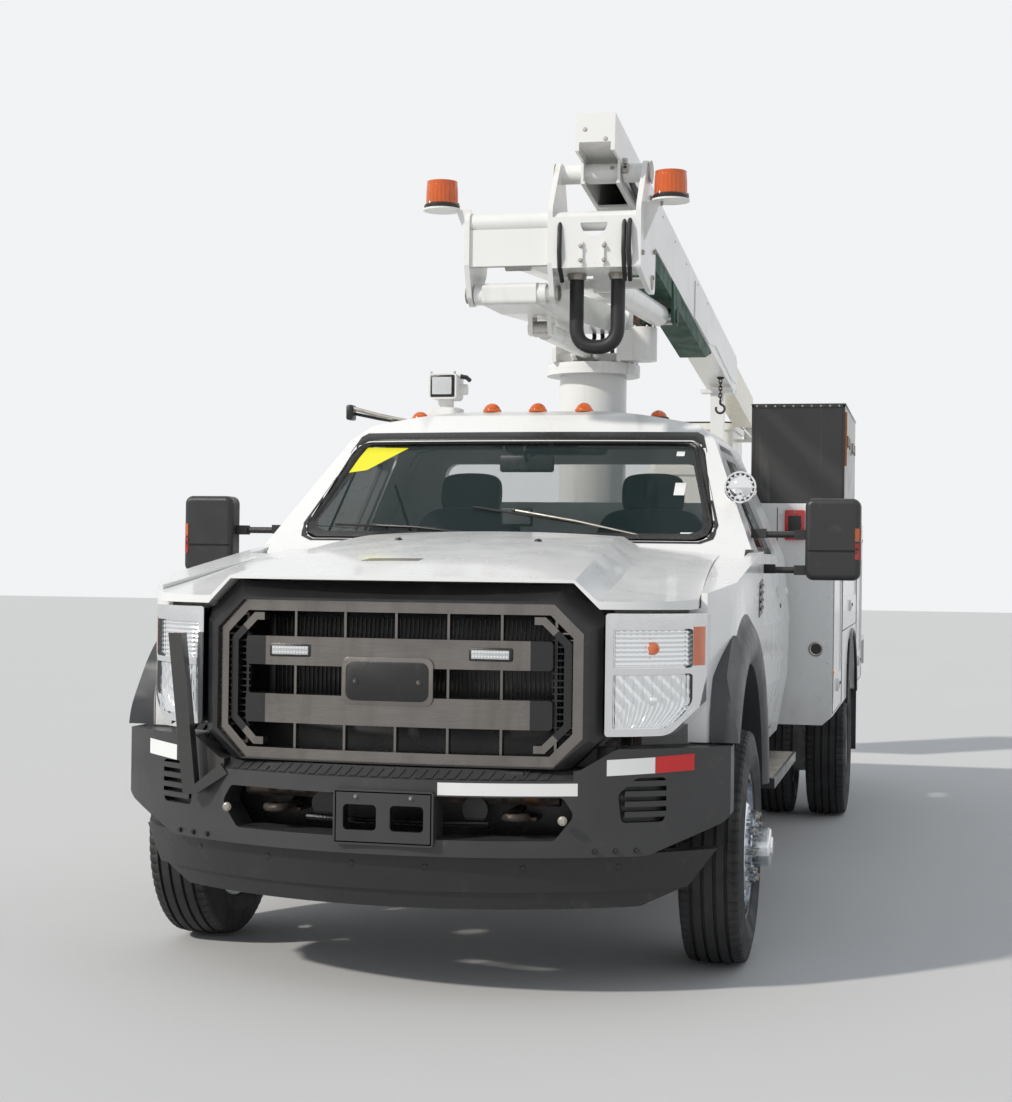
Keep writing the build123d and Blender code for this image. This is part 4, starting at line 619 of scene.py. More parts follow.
class TRUCK_OT_paint(Fitting, bpy.types.Operator):
    """Give every solid of the frame its finish"""

    bl_idname = "truck.paint"
    bl_label = "Paint the frame"

    def execute(self, context):
        finish_of = {node: name for name, nodes in CAD_FINISH.items() for node in nodes.split()}
        for node, piece in NODES.items():
            piece.data.materials.clear()
            piece.data.materials.append(FINISH[finish_of.get(node, "body_white")])
        # painted shade: the panel between the fenders is darkened for the shade seen through the gaps
        # round the grille
        second_finish("front_fenders", "trim_black", in_panel)
        flares()
        for node in ("hood", "front_fenders", "cab_shell"):
            soften(NODES[node])
        # painted shade: the housing's lower face gets the dark green that also stands in for the shade
        # under the boom
        second_finish("upper_boom", "boom_green_shade", on_housing)
        second_finish("front_bumper", "trim_black", lambda p: p.z < DAM_TOP)
        second_finish("front_bumper", "post_black", on_post)
        second_finish("grille_insert", "trim_black", behind_bars)
        second_finish("work_lights", "chrome", lambda p: p.x > PILLAR_LAMP_INNER)
        second_finish("dashboard", "trim_black", lambda p: p.y > DASH_REAR)
        return {"FINISHED"}


TYRE_RADIUS = 405
TREAD_HALF = 92
FRONT_TRACK = 940
REAR_TRACKS = (790, 1080)
# each end's name, its nodes' plural mark, where its tyres stand across and its axle's Y
ENDS = (("front_", "", (FRONT_TRACK,), 0), ("rear_", "s", REAR_TRACKS, WHEELBASE))
GROOVES = (-58, -20, 20, 58)
# the tyre's section as (radius, along), from the bead up to the shoulder's notched edge
WALL = ((262, 86), (268, 94), (290, 103), (312, 109), (318, 110.5), (324, 109), (352, 107), (380, 101))
SHOULDER = ((392, 98), (399, 90), (400.5, 76))


def tyre_section(depth, notch):
    """The section from one bead over the tread to the other."""
    half = [*WALL, *((r - notch, w) for r, w in SHOULDER)]
    tread = []
    for groove in GROOVES:
        for off, deep in ((-6, 0), (-4, 1), (4, 1), (6, 0)):
            w = groove + off
            tread.append((TYRE_RADIUS - 3.5 * (w / TREAD_HALF) ** 2 - deep * depth, w))
    return [(r, -w) for r, w in half] + tread + half[::-1]


def tyre_ring(build, x, y, blocks, depth):
    rows = []
    for k, (c, s) in enumerate(spots(blocks * 4, 1.0)):
        section = tyre_section(depth, 7 if k % 4 == 0 else 0)
        rows.append([(x + w, y + r * c, TYRE_RADIUS + r * s) for r, w in section])
    build.merge(build.grid([*rows, rows[0]], "rubber", closed=True))


class TRUCK_OT_tyres(Fitting, bpy.types.Operator):
    """Make the tyres with their ribs, shoulder blocks and walls"""

    bl_idname = "truck.tyres"
    bl_label = "Tyres"

    def execute(self, context):
        sizes = context.scene.truck_sizes
        looks = (sizes.tread_blocks, sizes.tread_depth * 1000)
        for name, side in SIDES:
            for end, many, tracks, y in ENDS:
                rings = [(side * x, y, *looks) for x in tracks]
                body = f"wheel{many}_{end}{name}"
                piece = make(tyre_ring, "tread_" + end + name, body, "tyre", rings, smooth=28)
                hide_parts(f"tyre{many}_{end}{name}")
        return {"FINISHED"}


# end of the truck: body, Y, where the cap, the studs and the valve's ends stand across, cap's radius
HUBS = (
    ("front_", "wheel_front_", 0, 1103, 1059, (985, 1022), 64),
    ("rear_", "wheels_rear_", WHEELBASE, 1148, 1085, (1098, 1130), 74),
)


def hub(build, side, y, cap, studs, valve, radius):
    """The cap, the threads of ten studs and the valve of one wheel."""
    profile = [
        (0, 0), (radius, 0), (radius, 6), (radius - 6, 10), (radius * 0.55, 12),
        (radius * 0.5, 17), (0, 19),
    ]
    outward = (side, 0, 0)
    build.turn(profile, (side * cap, y, TYRE_RADIUS), outward, "chrome" if radius < 70 else "zinc")
    threads = [(0, 0)]
    for n in range(6):
        threads += [(7, n * 2.6), (6, n * 2.6 + 1.3)]
    threads += [(6, 16), (0, 16)]
    for c, s in spots(10, 112):
        build.turn(threads, (side * studs, y + c, TYRE_RADIUS + s), outward, "zinc", 12)
    foot, tip = ((side * x, y + off, TYRE_RADIUS) for x, off in zip(valve, (214, 222)))
    build.rod(foot, tip, 5, "rubber", 10)


class TRUCK_OT_wheels(Fitting, bpy.types.Operator):
    """Add the valves, hub caps and stud threads to the wheels"""

    bl_idname = "truck.wheels"
    bl_label = "Wheel fittings"

    def execute(self, context):
        for name, side in SIDES:
            for end, body, *places in HUBS:
                make(hub, "hub_" + end + name, body + name, "aluminium", [(side, *places)])
        return {"FINISHED"}


# three points of the nose's rounded corner, in X and Y
NOSE_CORNER = ((640, -845), (830, -735), (955, -540))


def nose(x):
    """The front Y at x of the circle through the nose's corner."""
    (ax, ay), (bx, by), (cx, cy) = NOSE_CORNER
    d = 2 * (ax * (by - cy) + bx * (cy - ay) + cx * (ay - by))
    a, b, c = (ax * ax + ay * ay), (bx * bx + by * by), (cx * cx + cy * cy)
    mx = (a * (by - cy) + b * (cy - ay) + c * (ay - by)) / d
    my = (a * (cx - bx) + b * (ax - cx) + c * (bx - ax)) / d
    return my - math.sqrt(max(0.0, (ax - mx) ** 2 + (ay - my) ** 2 - (x - mx) ** 2))


UPPER_FIELD = (1060, 1176)
LOWER_FIELD = (872, 1034)
FIELD_INNER, FIELD_OUTER = 692, 908
LAMP_COVER = (668, 957, 848, 1225)


# how far and how soon an outer edge curves in toward its foot: depth, start, height and power
FIELD_CURVE = (66, 950, 82, 1.6)
COVER_CURVE = (96, 958, 110, 1.7)


def curved_in(z, depth, start, height, power):
    return depth * max(0.0, (start - z) / height) ** power


def field_edge(z):
    """The outer edge of a field of optics at the height z."""
    return FIELD_OUTER - curved_in(z, *FIELD_CURVE)


def optics(build, side, heights, rows, shape):
    """A field of small lenses on the lamp's face, its relief given by shape."""
    points = []
    for j, z in enumerate(spread(*heights, rows * 4)):
        row = []
        for i, x in enumerate(spread(FIELD_INNER, field_edge(z), 72)):
            spot, _, way = touch("headlamps", "front", side * x, z)
            row.append(spot - way * (1.5 + shape(i, j)))
        points.append(row)
    build.grid(points, "reflector")


def pillow(i, j):
    return 5.0 * abs(math.sin(math.pi * i / 6)) * abs(math.sin(math.pi * j / 4))


def flute(i, j):
    scallop = 1.5 * abs(math.sin(math.pi * (j + i * 0.7) / 9))
    return 5.5 * abs(math.sin(math.pi * i / 4.5)) ** 0.7 + scallop


def lamp_cover(build, side):
    x0, x1, z0, z1 = LAMP_COVER
    rows = []
    for z in spread(z0, z1, 8):
        edge = x1 - curved_in(z, *COVER_CURVE)
        rows.append([(side * x, nose(x) - 3.5, z) for x in spread(x0, edge, 14)])
    build.grid(rows, "lamp_cover")


class TRUCK_OT_headlamps(Fitting, bpy.types.Operator):
    """Fill the headlamps with their optics, bulbs and clear covers"""

    bl_idname = "truck.headlamps"
    bl_label = "Headlamps"

    def execute(self, context):
        rows = context.scene.truck_sizes.optic_rows
        for name, side in SIDES:
            build = Build()
            optics(build, side, UPPER_FIELD, rows, pillow)
            optics(build, side, LOWER_FIELD, rows, flute)
            for z, radius, finish in ((1118, 21, "amber"), (955, 17, "reflector")):
                build.ball(touch("headlamps", "front", side * 800, z)[0], radius, finish, 16)
            corners = oblong(side * 914, side * 944, 1062, 1186)
            build.patch("headlamps", "front", corners, "amber", 1.5, (2, 4))
            build.done("lamp_optics_" + name, "chassis", smooth=25)
            make(lamp_cover, "lamp_cover_" + name, "chassis", "lamp_lens", [(side,)], smooth=60)
        return {"FINISHED"}


STROBES = ((-346, 1094), (312, 1094))
PLATE_X, PLATE_Z = -18, 1003
NET_Y = -800


def strobe(build, x, z):
    y = touch("grille_insert", "front", x, z)[0].y
    build.box((x - 70, x + 70), (y - 9, y + 2), (z - 21, z + 21), "trim_black", 6)
    build.box((x - 61, x + 61), (y - 12, y - 8), (z - 14, z + 14), "clear", 2)
    for k in range(12):
        for level in (-7, 7):
            place = (x - 54 + k * 9.8, y - 12.5, z + level)
            build.turn([(0, 0.8), (3.8, 0.4), (4.4, 0), (0, 0)], place, FORWARD, "reflector", 8)


def blank_plate(build):
    """A plain cover plate over the middle of both bars."""
    y = touch("grille_insert", "front", PLATE_X, 1090)[0].y
    for half, height, front, finish in ((150, 76, 8, "pewter"), (136, 62, 11, "trim_black")):
        corners = rounded(PLATE_X - half, PLATE_X + half, PLATE_Z - height, PLATE_Z + height, 26, 4)
        build.prism(corners, (0, 2, 1), (y - front, y + 4), finish, 1.5)
    for x in (-104, 104):
        build.bolt((PLATE_X + x, y - 11, PLATE_Z), FORWARD, "pewter", 6)


def radiator(build):
    """A dark core with upright fins behind the bars; its dark sheet reaches past the fins as painted
    shade that closes the grille's gaps.
    """
    # painted shade: this dark sheet is wider than the core so no light shows through the grille
    build.box((-600, 600), (NET_Y + 130, NET_Y + 150), (815, 1215), "trim_black", 2)
    for x in range(-465, 466, 15):
        build.box((x, x + 3), (NET_Y + 124, NET_Y + 131), (875, 1195), "frame_black")
    for side in (-1, 1):
        build.box((side * 470, side * 500), (NET_Y + 118, NET_Y + 155), (862, 1208), "trim_black", 6)


class TRUCK_OT_grille(Fitting, bpy.types.Operator):
    """Add the two strobes, the blank plate and the core behind the grille"""

    bl_idname = "truck.grille"
    bl_label = "Grille fittings"

    def execute(self, context):
        make(strobe, "strobes", "chassis", "lamp_lens", STROBES, smooth=25)
        make(blank_plate, "blank_plate", "chassis", "pewter")
        make(radiator, "radiator_core", "chassis", "frame_black")
        return {"FINISHED"}


BUMPER = "front_bumper"
PAD_HALF, PAD_LOW, PAD_HIGH = 550, 709, 737
TAPES = (
    (oblong(168, 588, 661, 700), "tape_white"),
    ([(672, 722), (812, 728), (812, 778), (672, 772)], "tape_white"),
    ([(813, 728), (925, 734), (925, 786), (813, 779)], "tape_red"),
    ([(-918, 726), (-782, 716), (-782, 766), (-918, 776)], "tape_white"),
)


def step_pad(build, ribs):
    pad = oblong(-PAD_HALF, PAD_HALF, PAD_LOW, PAD_HIGH)
    build.patch(BUMPER, "front", pad, "rubber", 2.0, (48, 3))
    pitch = 2 * (PAD_HALF - 24) / ribs
    low, high = PAD_LOW + 3, PAD_HIGH - 2
    for k in range(ribs):
        x = -PAD_HALF + 10 + k * pitch
        corners = [(x, low), (x + pitch * 0.62, low), (x + pitch * 1.02, high), (x + pitch * 0.4, high)]
        build.patch(BUMPER, "front", corners, "rubber", 7.0, (2, 2))


def tape(build, corners, finish):
    build.patch(BUMPER, "front", corners, finish, 1.2, (12, 2))


def hardware(build, side):
    """The tow hook, the bolts and the push pins of one side."""
    x = side * 392
    path = [(x + side * c, -868 - s, 590) for c, s in spots(9, 34, -70, 35)]
    path += [(x - side * 30, -800, 590), (x - side * 10, -700, 600)]
    build.tube(path, 13, "axle_iron", 10)
    build.box((x - 52, x + 52), (-790, -650), (566, 580), "axle_iron", 4)
    build.bolt((side * 549, -905, 588), FORWARD, "zinc", 12)
    for x in (640, 700, 760):
        build.bolt_on(BUMPER, "front", side * x, 488, "trim_black", 7)
    for x in (120, 420, 700):
        pin = [(0, 3), (9, 2), (11, 0), (0, 0)]
        build.button(BUMPER, "front", side * x, 430, pin, "trim_black", 12)


def plate_holder(build):
    """The holder's raised frame and two plain screws, with no plate in it."""
    y = -998
    for x0, x1, z0, z1 in (
        (-158, 158, 660, 668), (-158, 158, 504, 512), (-158, -150, 504, 668), (150, 158, 504, 668),
    ):
        build.box((x0, x1), (y, y + 6), (z0, z1), "bumper_black", 2)
    for side in (-1, 1):
        build.bolt((side * 89, y + 1, 650), FORWARD, "zinc", 5)


def behind_slot(build):
    """The cross tube and horn shapes seen through the slot, and a dark sheet behind them as painted
    shade inside the slot.
    """
    # painted shade: a dark sheet fills the slot's depth so the bright floor does not show through
    build.box((-620, 620), (-706, -694), (470, 850), "trim_black", 4)
    for low in (-676, 612):
        build.box((low, low + 64), (-704, -692), (650, 802), "trim_black", 4)
    build.tube([(-520, -790, 640), (520, -790, 640)], 24, "axle_iron", 14)
    cable = [(-300, -840, 560), (-120, -850, 556), (120, -850, 556), (300, -840, 560)]
    build.tube(cable, 9, "trim_black", 8)
    horn = [(0, 0), (42, 0), (44, 8), (30, 22), (16, 40), (0, 44)]
    for x in (-250, 250):
        build.turn(horn, (x, -820, 600), REARWARD, "trim_black", 24)


class TRUCK_OT_bumper(Fitting, bpy.types.Operator):
    """Add the step's pad, tapes, tow hooks, bolts and blank plate holder to the bumper"""

    bl_idname = "truck.bumper"
    bl_label = "Bumper fittings"

    def execute(self, context):
        ribs = context.scene.truck_sizes.tread_ribs
        make(step_pad, "step_pad", "chassis", "dark_plastic", [(ribs,)], smooth=30)
        make(tape, "reflective_tapes", "chassis", None, TAPES, smooth=50)
        make(hardware, "bumper_hardware", "chassis", "frame_black", BOTH)
        make(plate_holder, "plate_holder_trim", "chassis", "dark_plastic")
        make(behind_slot, "bumper_inside", "chassis", "frame_black")
        return {"FINISHED"}


def washer(build, x):
    """A washer's round foot on the bonnet and its jet."""
    build.button("hood", "above", x, 40, [(0, 9), (9, 8), (14, 3), (15, 0)], "trim_black", 16)
    z = touch("hood", "above", x, 40)[0].z
    build.rod((x, 44, z + 6), (x, 56, z + 9), 2.5, "trim_black", 8)


def cowl(build):
    """Slotted panel between the bonnet and the windscreen."""
    rows = []
    for j in range(5):
        row = []
        for x in spread(-845, 845, 40):
            bow = (x / 845) ** 2
            y = 508 + 17 * j + 18.2 * bow * (1 - j / 4)
            row.append((x, y, 1456 - 0.00003 * x * x + 8 * j - 26 * bow))
        rows.append(row)
    build.grid(rows, "trim_black")
    for x in range(-780, 772, 33):
        z = 1468 - 0.00003 * x * x - 26 * (x / 845) ** 2
        build.box((x, x + 18), (530, 556), (z - 2, z + 3), "trim_black", 1)


def vent(build, side):
    """A blank louvred vent in the fender's upper rear corner."""
    edge = [(500, 1190), (640, 1205), (650, 1335), (530, 1322)]
    build.patch("front_fenders", FLANKS[side], edge, "trim_black", 2.5, (4, 6))
    for z in range(1216, 1301, 28):
        slat = [(522, z), (632, z + 6), (634, z + 16), (526, z + 9)]
        build.patch("front_fenders", FLANKS[side], slat, "trim_black", 8.0, (3, 1))


# each wiper: foot, where its arm holds the blade and the blade's ends (X and Z), arm's finish
WIPERS = (
    ((-170, 572, 1486), (-520, 1528), (-260, 1518), (-700, 1532), "trim_black"),
    ((545, 590, 1480), (40, 1592), (395, 1530), (-140, 1606), "zinc"),
)


def wiper(build, foot, hold, near, far, finish):
    """An arm from the cowl and its long blade; the driver's stands up on the glass."""
    pivot = [(0, 0), (16, 0), (16, 14), (10, 20), (0, 20)]
    build.turn(pivot, foot, (0, -0.3, 1), "trim_black", 16)
    start, end = Vector(foot) + Vector((0, 0, 16)), on_glass(*hold, 18)
    build.tube([start, (start + end) / 2 + Vector((0, -26, 6)), end], 5, finish, 8)
    x, y, z = end
    build.box((x - 16, x + 16), (y - 4, y + 10), (z - 7, z + 7), "trim_black", 3)
    blade = [on_glass(u, v, 9) for u, v in zip(*(spread(a, b, 12) for a, b in zip(near, far)))]
    build.tube(blade, 4.5, "rubber", 6)


def on_glass(x, z, lift):
    spot, _, way = touch("cab_glass", "front", x, z)
    return spot - way * lift


class TRUCK_OT_bonnet(Fitting, bpy.types.Operator):
    """Add the bonnet's washers, the cowl, the fenders' vents and the wipers"""

    bl_idname = "truck.bonnet"
    bl_label = "Bonnet and cowl"

    def execute(self, context):
        build = Build()
        for x in (-262, 262):
            washer(build, x)
        worn = [(-205, -600), (-6, -604), (-2, -552), (-188, -548)]
        build.patch("hood", "above", worn, "pewter", 1.0, (8, 2))
        build.done("washer_jets", "hood", "dark_plastic")
        make(cowl, "cowl_panel", "chassis", "dark_plastic", smooth=25)
        make(vent, "fender_vents", "chassis", "dark_plastic", BOTH, smooth=25)
        make(wiper, "wipers", "chassis", "dark_plastic", WIPERS)
        return {"FINISHED"}


# the windscreen's outline in X and Z, from its foot round by the driver's side
GLASS_OUTLINE = (
    (-762, 1482), (762, 1482), (806, 1500), (818, 1538), (710, 1866), (684, 1882),
    (-684, 1882), (-710, 1866), (-818, 1538), (-806, 1500),
)


def glass_edge(s):
    """A point round the windscreen's opening, for s from 0 to 10."""
    k = int(s) % 10
    a, b = GLASS_OUTLINE[k], GLASS_OUTLINE[(k + 1) % 10]
    t = s - int(s)
    return a[0] + (b[0] - a[0]) * t, a[1] + (b[1] - a[1]) * t


def border(build):
    """A dark band on the glass that is wider along its foot and top."""
    both = ("cab_glass", "cab_shell")
    rows = []
    lifts = {-1: -1, -0.97: 3, -0.6: 3, -0.3: 4, -0.08: 5, 0.0: 20, 0.012: 14, 0.02: 3, 0.036: 3}
    for inset, lift in lifts.items():
        row = []
        for k in range(200):
            x, z = glass_edge(k / 20)
            if inset < 0:
                # out over the frame, furthest over its top
                x, z = x * (1 - 0.03 * inset), z - inset * (50 if z > 1800 else -16 if z < 1520 else 0)
            else:
                x, z = x * (1 - inset), z + (1680 - z) * inset * (3.2 if z < 1600 else 1.8)
            spot, _, way = touch(both, "front", x, z, start=200)
            row.append(spot - way * lift)
        rows.append(row)
    build.grid(rows, "trim_black", closed=True)


def sticker(build, corners, finish, lift, steps):
    build.patch("cab_glass", "front", corners, finish, lift, steps)


STICKERS = (
    ([(-742, 1752), (-655, 1764), (-500, 1862), (-688, 1866)], "yellow", 4.0, (8, 4)),
    (oblong(648, 690, 1660, 1712), "tape_white", 1.5, (2, 2)),
    (oblong(632, 664, 1826, 1846), "tape_white", 1.5, (2, 2)),
    (oblong(700, 790, 1500, 1510), "tape_white", 1.5, (2, 1)),
)


def side_seals(build, node, view):
    """Seals along the window's foot and the bar of its quarter light."""
    foot = [(872, 1440), (1600, 1440), (1600, 1462), (896, 1462)]
    build.patch(node, view, foot, "rubber", 4.0, (10, 2))
    bar = [(1236, 1442), (1260, 1442), (1262, 1818), (1244, 1818)]
    build.patch(node, view, bar, "trim_black", 4.0, (1, 8))


class TRUCK_OT_glass(Fitting, bpy.types.Operator):
    """Add the windscreen's dark border, blank stickers and seals"""

    bl_idname = "truck.glass"
    bl_label = "Glass trim"

    def execute(self, context):
        make(border, "windscreen_border", "chassis", "dark_plastic", smooth=60)
        make(sticker, "blank_stickers", "chassis", None, STICKERS, smooth=60)
        for name, side in SIDES:
            window = [("door_glass_" + name, FLANKS[side])]
            make(side_seals, "window_seals_" + name, "door_" + name, "dark_plastic", window, smooth=40)
        return {"FINISHED"}


def spotlight(build):
    x, y, z = -433, 1279, 2150
    build.box((x - 54, x + 54), (y - 5, y + 10), (z - 48, z + 48), "trim_black", 5)
    bowl = []
    for v in spread(-1, 1, 8):
        row = []
        for i, u in enumerate(spread(-1, 1, 16)):
            ripple = 1.2 * abs(math.sin(math.pi * i / 2))
            row.append((x + 43 * u, y - 10 + ripple + 3 * (u * u + v * v), z + 37 * v))
        bowl.append(row)
    build.grid(bowl, "reflector")
    build.box((x - 43, x + 43), (y - 13, y - 11.5), (z - 37, z + 37), "clear")
    cable = [(x + 70, y + 40, z + 44), (x + 96, y + 46, z + 40), (x + 104, y + 70, z + 30)]
    build.tube(cable, 10, "trim_black", 8)
    for dx in (-52, 52):
        for dy in (8, 124):
            build.bolt(touch("work_lights", "above", x + dx, y + dy)[0], UP, "zinc", 5)


def pillar_lamp(build):
    """A dish of small lenses in the chrome lamp on the driver's pillar."""
    x, y, z = 920, 700, 1689
    build.turn([(0, 1), (40, 0.5), (54, 0)], (x, y, z), FORWARD, "trim_black", 40)
    build.turn([(54, 0), (55, 4), (58, 5), (62, 2), (62, -3)], (x, y, z), FORWARD, "chrome", 40)
    for radius, count in ((0, 1), (17, 6), (34, 12), (48, 16)):
        for c, s in spots(count, radius):
            drop = [(0, 4), (4, 3.4), (6.5, 0.4), (0, 0)]
            build.turn(drop, (x + c, y - 1.5, z + s), FORWARD, "reflector", 8)


def lamp_base(build, x):
    z = touch("cab_shell", "above", x, 1194)[0].z + 2
    build.turn([(36, -6), (44, -4), (45, 1), (40, 3)], (x, 1240, z), UP, "trim_black", 24)


def aerial(build):
    """A folded ladder bracket and aerial foot at the passenger's roof edge."""
    build.tube([(-560, 1215, 1990), (-700, 1210, 2018), (-828, 1208, 2052)], 9, "zinc", 8)
    build.tube([(-560, 1240, 1984), (-700, 1240, 2004), (-828, 1236, 2030)], 7, "trim_black", 8)
    build.box((-842, -812), (1190, 1255), (1998, 2064), "trim_black", 8)
    build.box((-640, -590), (1185, 1262), (1966, 1992), "trim_black", 5)


def step_treads(build, side):
    for y in range(776, 1827, 42):
        build.box((side * 895, side * 1048), (y, y + 14), (559, 563), "zinc", 1.5)


def door_trim(build, node, view):
    """A moulding strip, the lock and the window's outer corner for the mirror's foot."""
    build.patch(node, view, oblong(715, 1665, 985, 1022), "body_white", 5.0, (14, 2))
    build.button(node, view, 1610, 1215, [(0, 4), (9, 3.5), (12, 0)], "trim_black", 16)
    build.patch(node, view, oblong(735, 830, 1300, 1422), "trim_black", 6.0, (2, 4))


def mirror_glass(build, node, side):
    """Glass in the head's rear, a lower wide glass, and the edge markers."""
    for low, high in ((1468, 1628), (1352, 1446)):
        corners = oblong(side * 1195, side * 1362, low, high)
        build.patch(node, "rear", corners, "mirror", 2.0, (3, 3), 1100)
    for low, high, finish in ((1482, 1532, "amber"), (1412, 1474, "red")):
        corners = oblong(side * 1360, side * 1376, low, high)
        build.patch(node, "front", corners, finish, 3.0, (1, 4))
        build.patch(node, FLANKS[side], oblong(722, 760, low, high), finish, 2.0, (2, 4))


class TRUCK_OT_cab(Fitting, bpy.types.Operator):
    """Add the lamps' lenses and bases, aerial, step treads, door trim and mirror glass"""

    bl_idname = "truck.cab"
    bl_label = "Cab fittings"

    def execute(self, context):
        build = Build()
        spotlight(build)
        pillar_lamp(build)
        build.done("light_lenses", "chassis", "lamp_lens", smooth=30)
        lamps = [(x,) for x in (-519, -200, 0, 200, 519)]
        make(lamp_base, "roof_lamp_bases", "chassis", "dark_plastic", lamps)
        make(aerial, "aerial_bracket", "chassis", "black_metal")
        make(step_treads, "step_treads", "chassis", "black_metal", BOTH)
        for name, side in SIDES:
            door = "door_" + name
            make(door_trim, "door_trim_" + name, door, "dark_plastic", [(door, FLANKS[side])], smooth=30)
            make(mirror_glass, "mirror_glass_" + name, door, None, [("mirror_" + name, side)], smooth=30)
        return {"FINISHED"}


def cushion(name, size, place, tilt, plump):
    """A stuffed block with crowned faces and a sewn channel beside each bolster."""
    build = Build()
    half = [s / 2 for s in size]
    turned = Matrix.Rotation(math.radians(tilt), 4, "X")
    for axis in range(3):
        for sign in (-1, 1):
            rows = []
            for t in spread(-1, 1, 14):
                row = []
                for s in spread(-1, 1, 14):
                    p = [0.0, 0.0, 0.0]
                    p[axis], p[(axis + 1) % 3], p[(axis + 2) % 3] = sign, s, t
                    row.append(Vector(place) + turned @ Vector(stuffed(p, half, plump)))
                rows.append(row)
            build.grid(rows, "cloth")
    build.merge(build.bm.faces)
    piece = build.done(name, "chassis", "seat_cloth", smooth=80, subdivide=1)


def stuffed(p, half, plump):
    """Moves a point of a cube from -1 to 1 onto a plump cushion of half sizes."""
    n = 5.0
    length = sum(abs(c) ** n for c in p) ** (1 / n)
    x, y, z = (c / length for c in p)
    bulge = plump * (1 - y * y) * ((1 - x * x) + (1 - z * z))
    seam = 0.005 * math.exp(-((abs(x) - 0.62) / 0.05) ** 2)
    return [c * h + c * (bulge - seam) * 500 for c, h in zip((x, y, z), half)]


SEAT_X = 420
# part: width, depth and height, place behind the axle and above the road, lean in degrees
SEAT_PARTS = (
    ("cushion", (500, 500, 130), (1395, 1042), 4),
    ("back", (480, 120, 560), (1690, 1350), -13),
    ("head_rest", (260, 90, 170), (1780, 1700), -8),
)


def seat_base(build, side):
    x = side * SEAT_X
    build.box((x - 235, x + 235), (1150, 1640), (912, 985), "trim_black", 12)
    for post in (x - 60, x + 60):
        build.rod((post, 1752, 1580), (post, 1772, 1650), 7, "chrome", 10)
    build.box((x - side * 268, x - side * 250), (1400, 1640), (940, 1010), "trim_black", 8)


class TRUCK_OT_seats(Fitting, bpy.types.Operator):
    """Make both seats from stuffed cushions on their bases"""

    bl_idname = "truck.seats"
    bl_label = "Seats"

    def execute(self, context):
        plump = context.scene.truck_sizes.plumpness
        for name, side in SIDES:
            for part, size, (y, z), lean in SEAT_PARTS:
                cushion(f"seat_{part}_{name}", size, (side * SEAT_X, y, z), lean, plump)
        piece = make(seat_base, "seat_bases", "chassis", "grey_plastic", BOTH)
        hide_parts("seats")
        return {"FINISHED"}


def belt(build, side):
    path = [(side * 800, 1800, 1760), (side * 690, 1740, 1500), (side * 560, 1700, 1200)]
    build.tube(path, 7, "trim_black", 6)


class TRUCK_OT_interior(Fitting, bpy.types.Operator):
    """Add the mirror, visors, console, dash details and belts inside the cab"""

    bl_idname = "truck.interior"
    bl_label = "Interior"

    def execute(self, context):
        build = Build()
        build.box((-112, 118), (1010, 1032), (1762, 1834), "trim_black", 14)
        build.box((-104, 110), (1030, 1034), (1770, 1826), "mirror", 6)
        build.tube([(2, 1010, 1810), (2, 985, 1850), (2, 1000, 1880)], 8, "trim_black", 8)
        for x0, x1 in ((-640, -160), (190, 660)):
            build.box((x0, x1), (1105, 1290), (1872, 1888), "cabin_pale", 7)
        build.box((-120, 290), (1130, 1330), (1850, 1905), "cabin_grey", 16)
        build.done("roof_console", "chassis", "grey_plastic")
        build = Build()
        build.box((-150, 150), (905, 925), (1240, 1350), "trim_black", 8)
        build.box((-120, 120), (924, 928), (1255, 1335), "clear", 3)
        for x in (-700, -330, 330, 700):
            for k in range(4):
                build.box((x - 55, x + 55), (920, 936), (1300 + k * 16, 1306 + k * 16), "trim_black", 2)
        build.box((-46, 82), (768, 784), (1532, 1606), "trim_black", 5)
        build.box((-38, 74), (764, 769), (1540, 1598), "cabin_grey", 2)
        build.tube([(20, 780, 1540), (20, 792, 1520), (20, 800, 1500)], 8, "trim_black", 8)
        build.box((-150, 150), (1150, 1600), (912, 1080), "cabin_grey", 24)
        build.rod((40, 1060, 900), (60, 1085, 1230), 9, "trim_black", 10)
        build.ball((60, 1086, 1240), 22, "trim_black")
        build.done("dash_details", "chassis", "grey_plastic")
        make(belt, "seat_belts", "chassis", "seat_cloth", BOTH)
        return {"FINISHED"}


DOORS = ("front", "middle", "rear")
BODY_EDGE = 1200
TAIL_Y = 6102


def front_face(build, side):
    """The filler hole, marker lamp, seams and rivets on the body's front face."""
    node = "body_left" if side > 0 else "body_right"
    y = touch(node, "front", side * 1000, 1400)[0].y
    if side > 0:
        ring = [(34, -1), (34, 3), (28, 5), (24, 3), (24, -1)]
        build.turn(ring, (1124, y, 1006), FORWARD, "zinc", 28)
        build.turn([(0, 1.2), (24, 1.2), (24, -1)], (1124, y, 1006), FORWARD, "trim_black", 24)
    low, high = sorted((side * 975, side * 1068))
    build.box((low, high), (y - 20, y + 1), (1509, 1649), "red", 7)
    build.box((low + 17, high - 17), (y - 24, y - 19), (1536, 1622), "trim_black", 4)
    for z in (1521, 1637):
        build.bolt(((low + high) / 2, y - 20, z), FORWARD, "zinc", 4)
    seam = side * 940
    build.patch(node, "front", oblong(seam - 2, seam + 2, 765, 1660), "rubber", 0.8, (1, 4))
    for z in range(790, 1627, 76):
        for x in (955, 1182):
            build.bolt_on(node, "front", side * x, z, "body_white", 4)


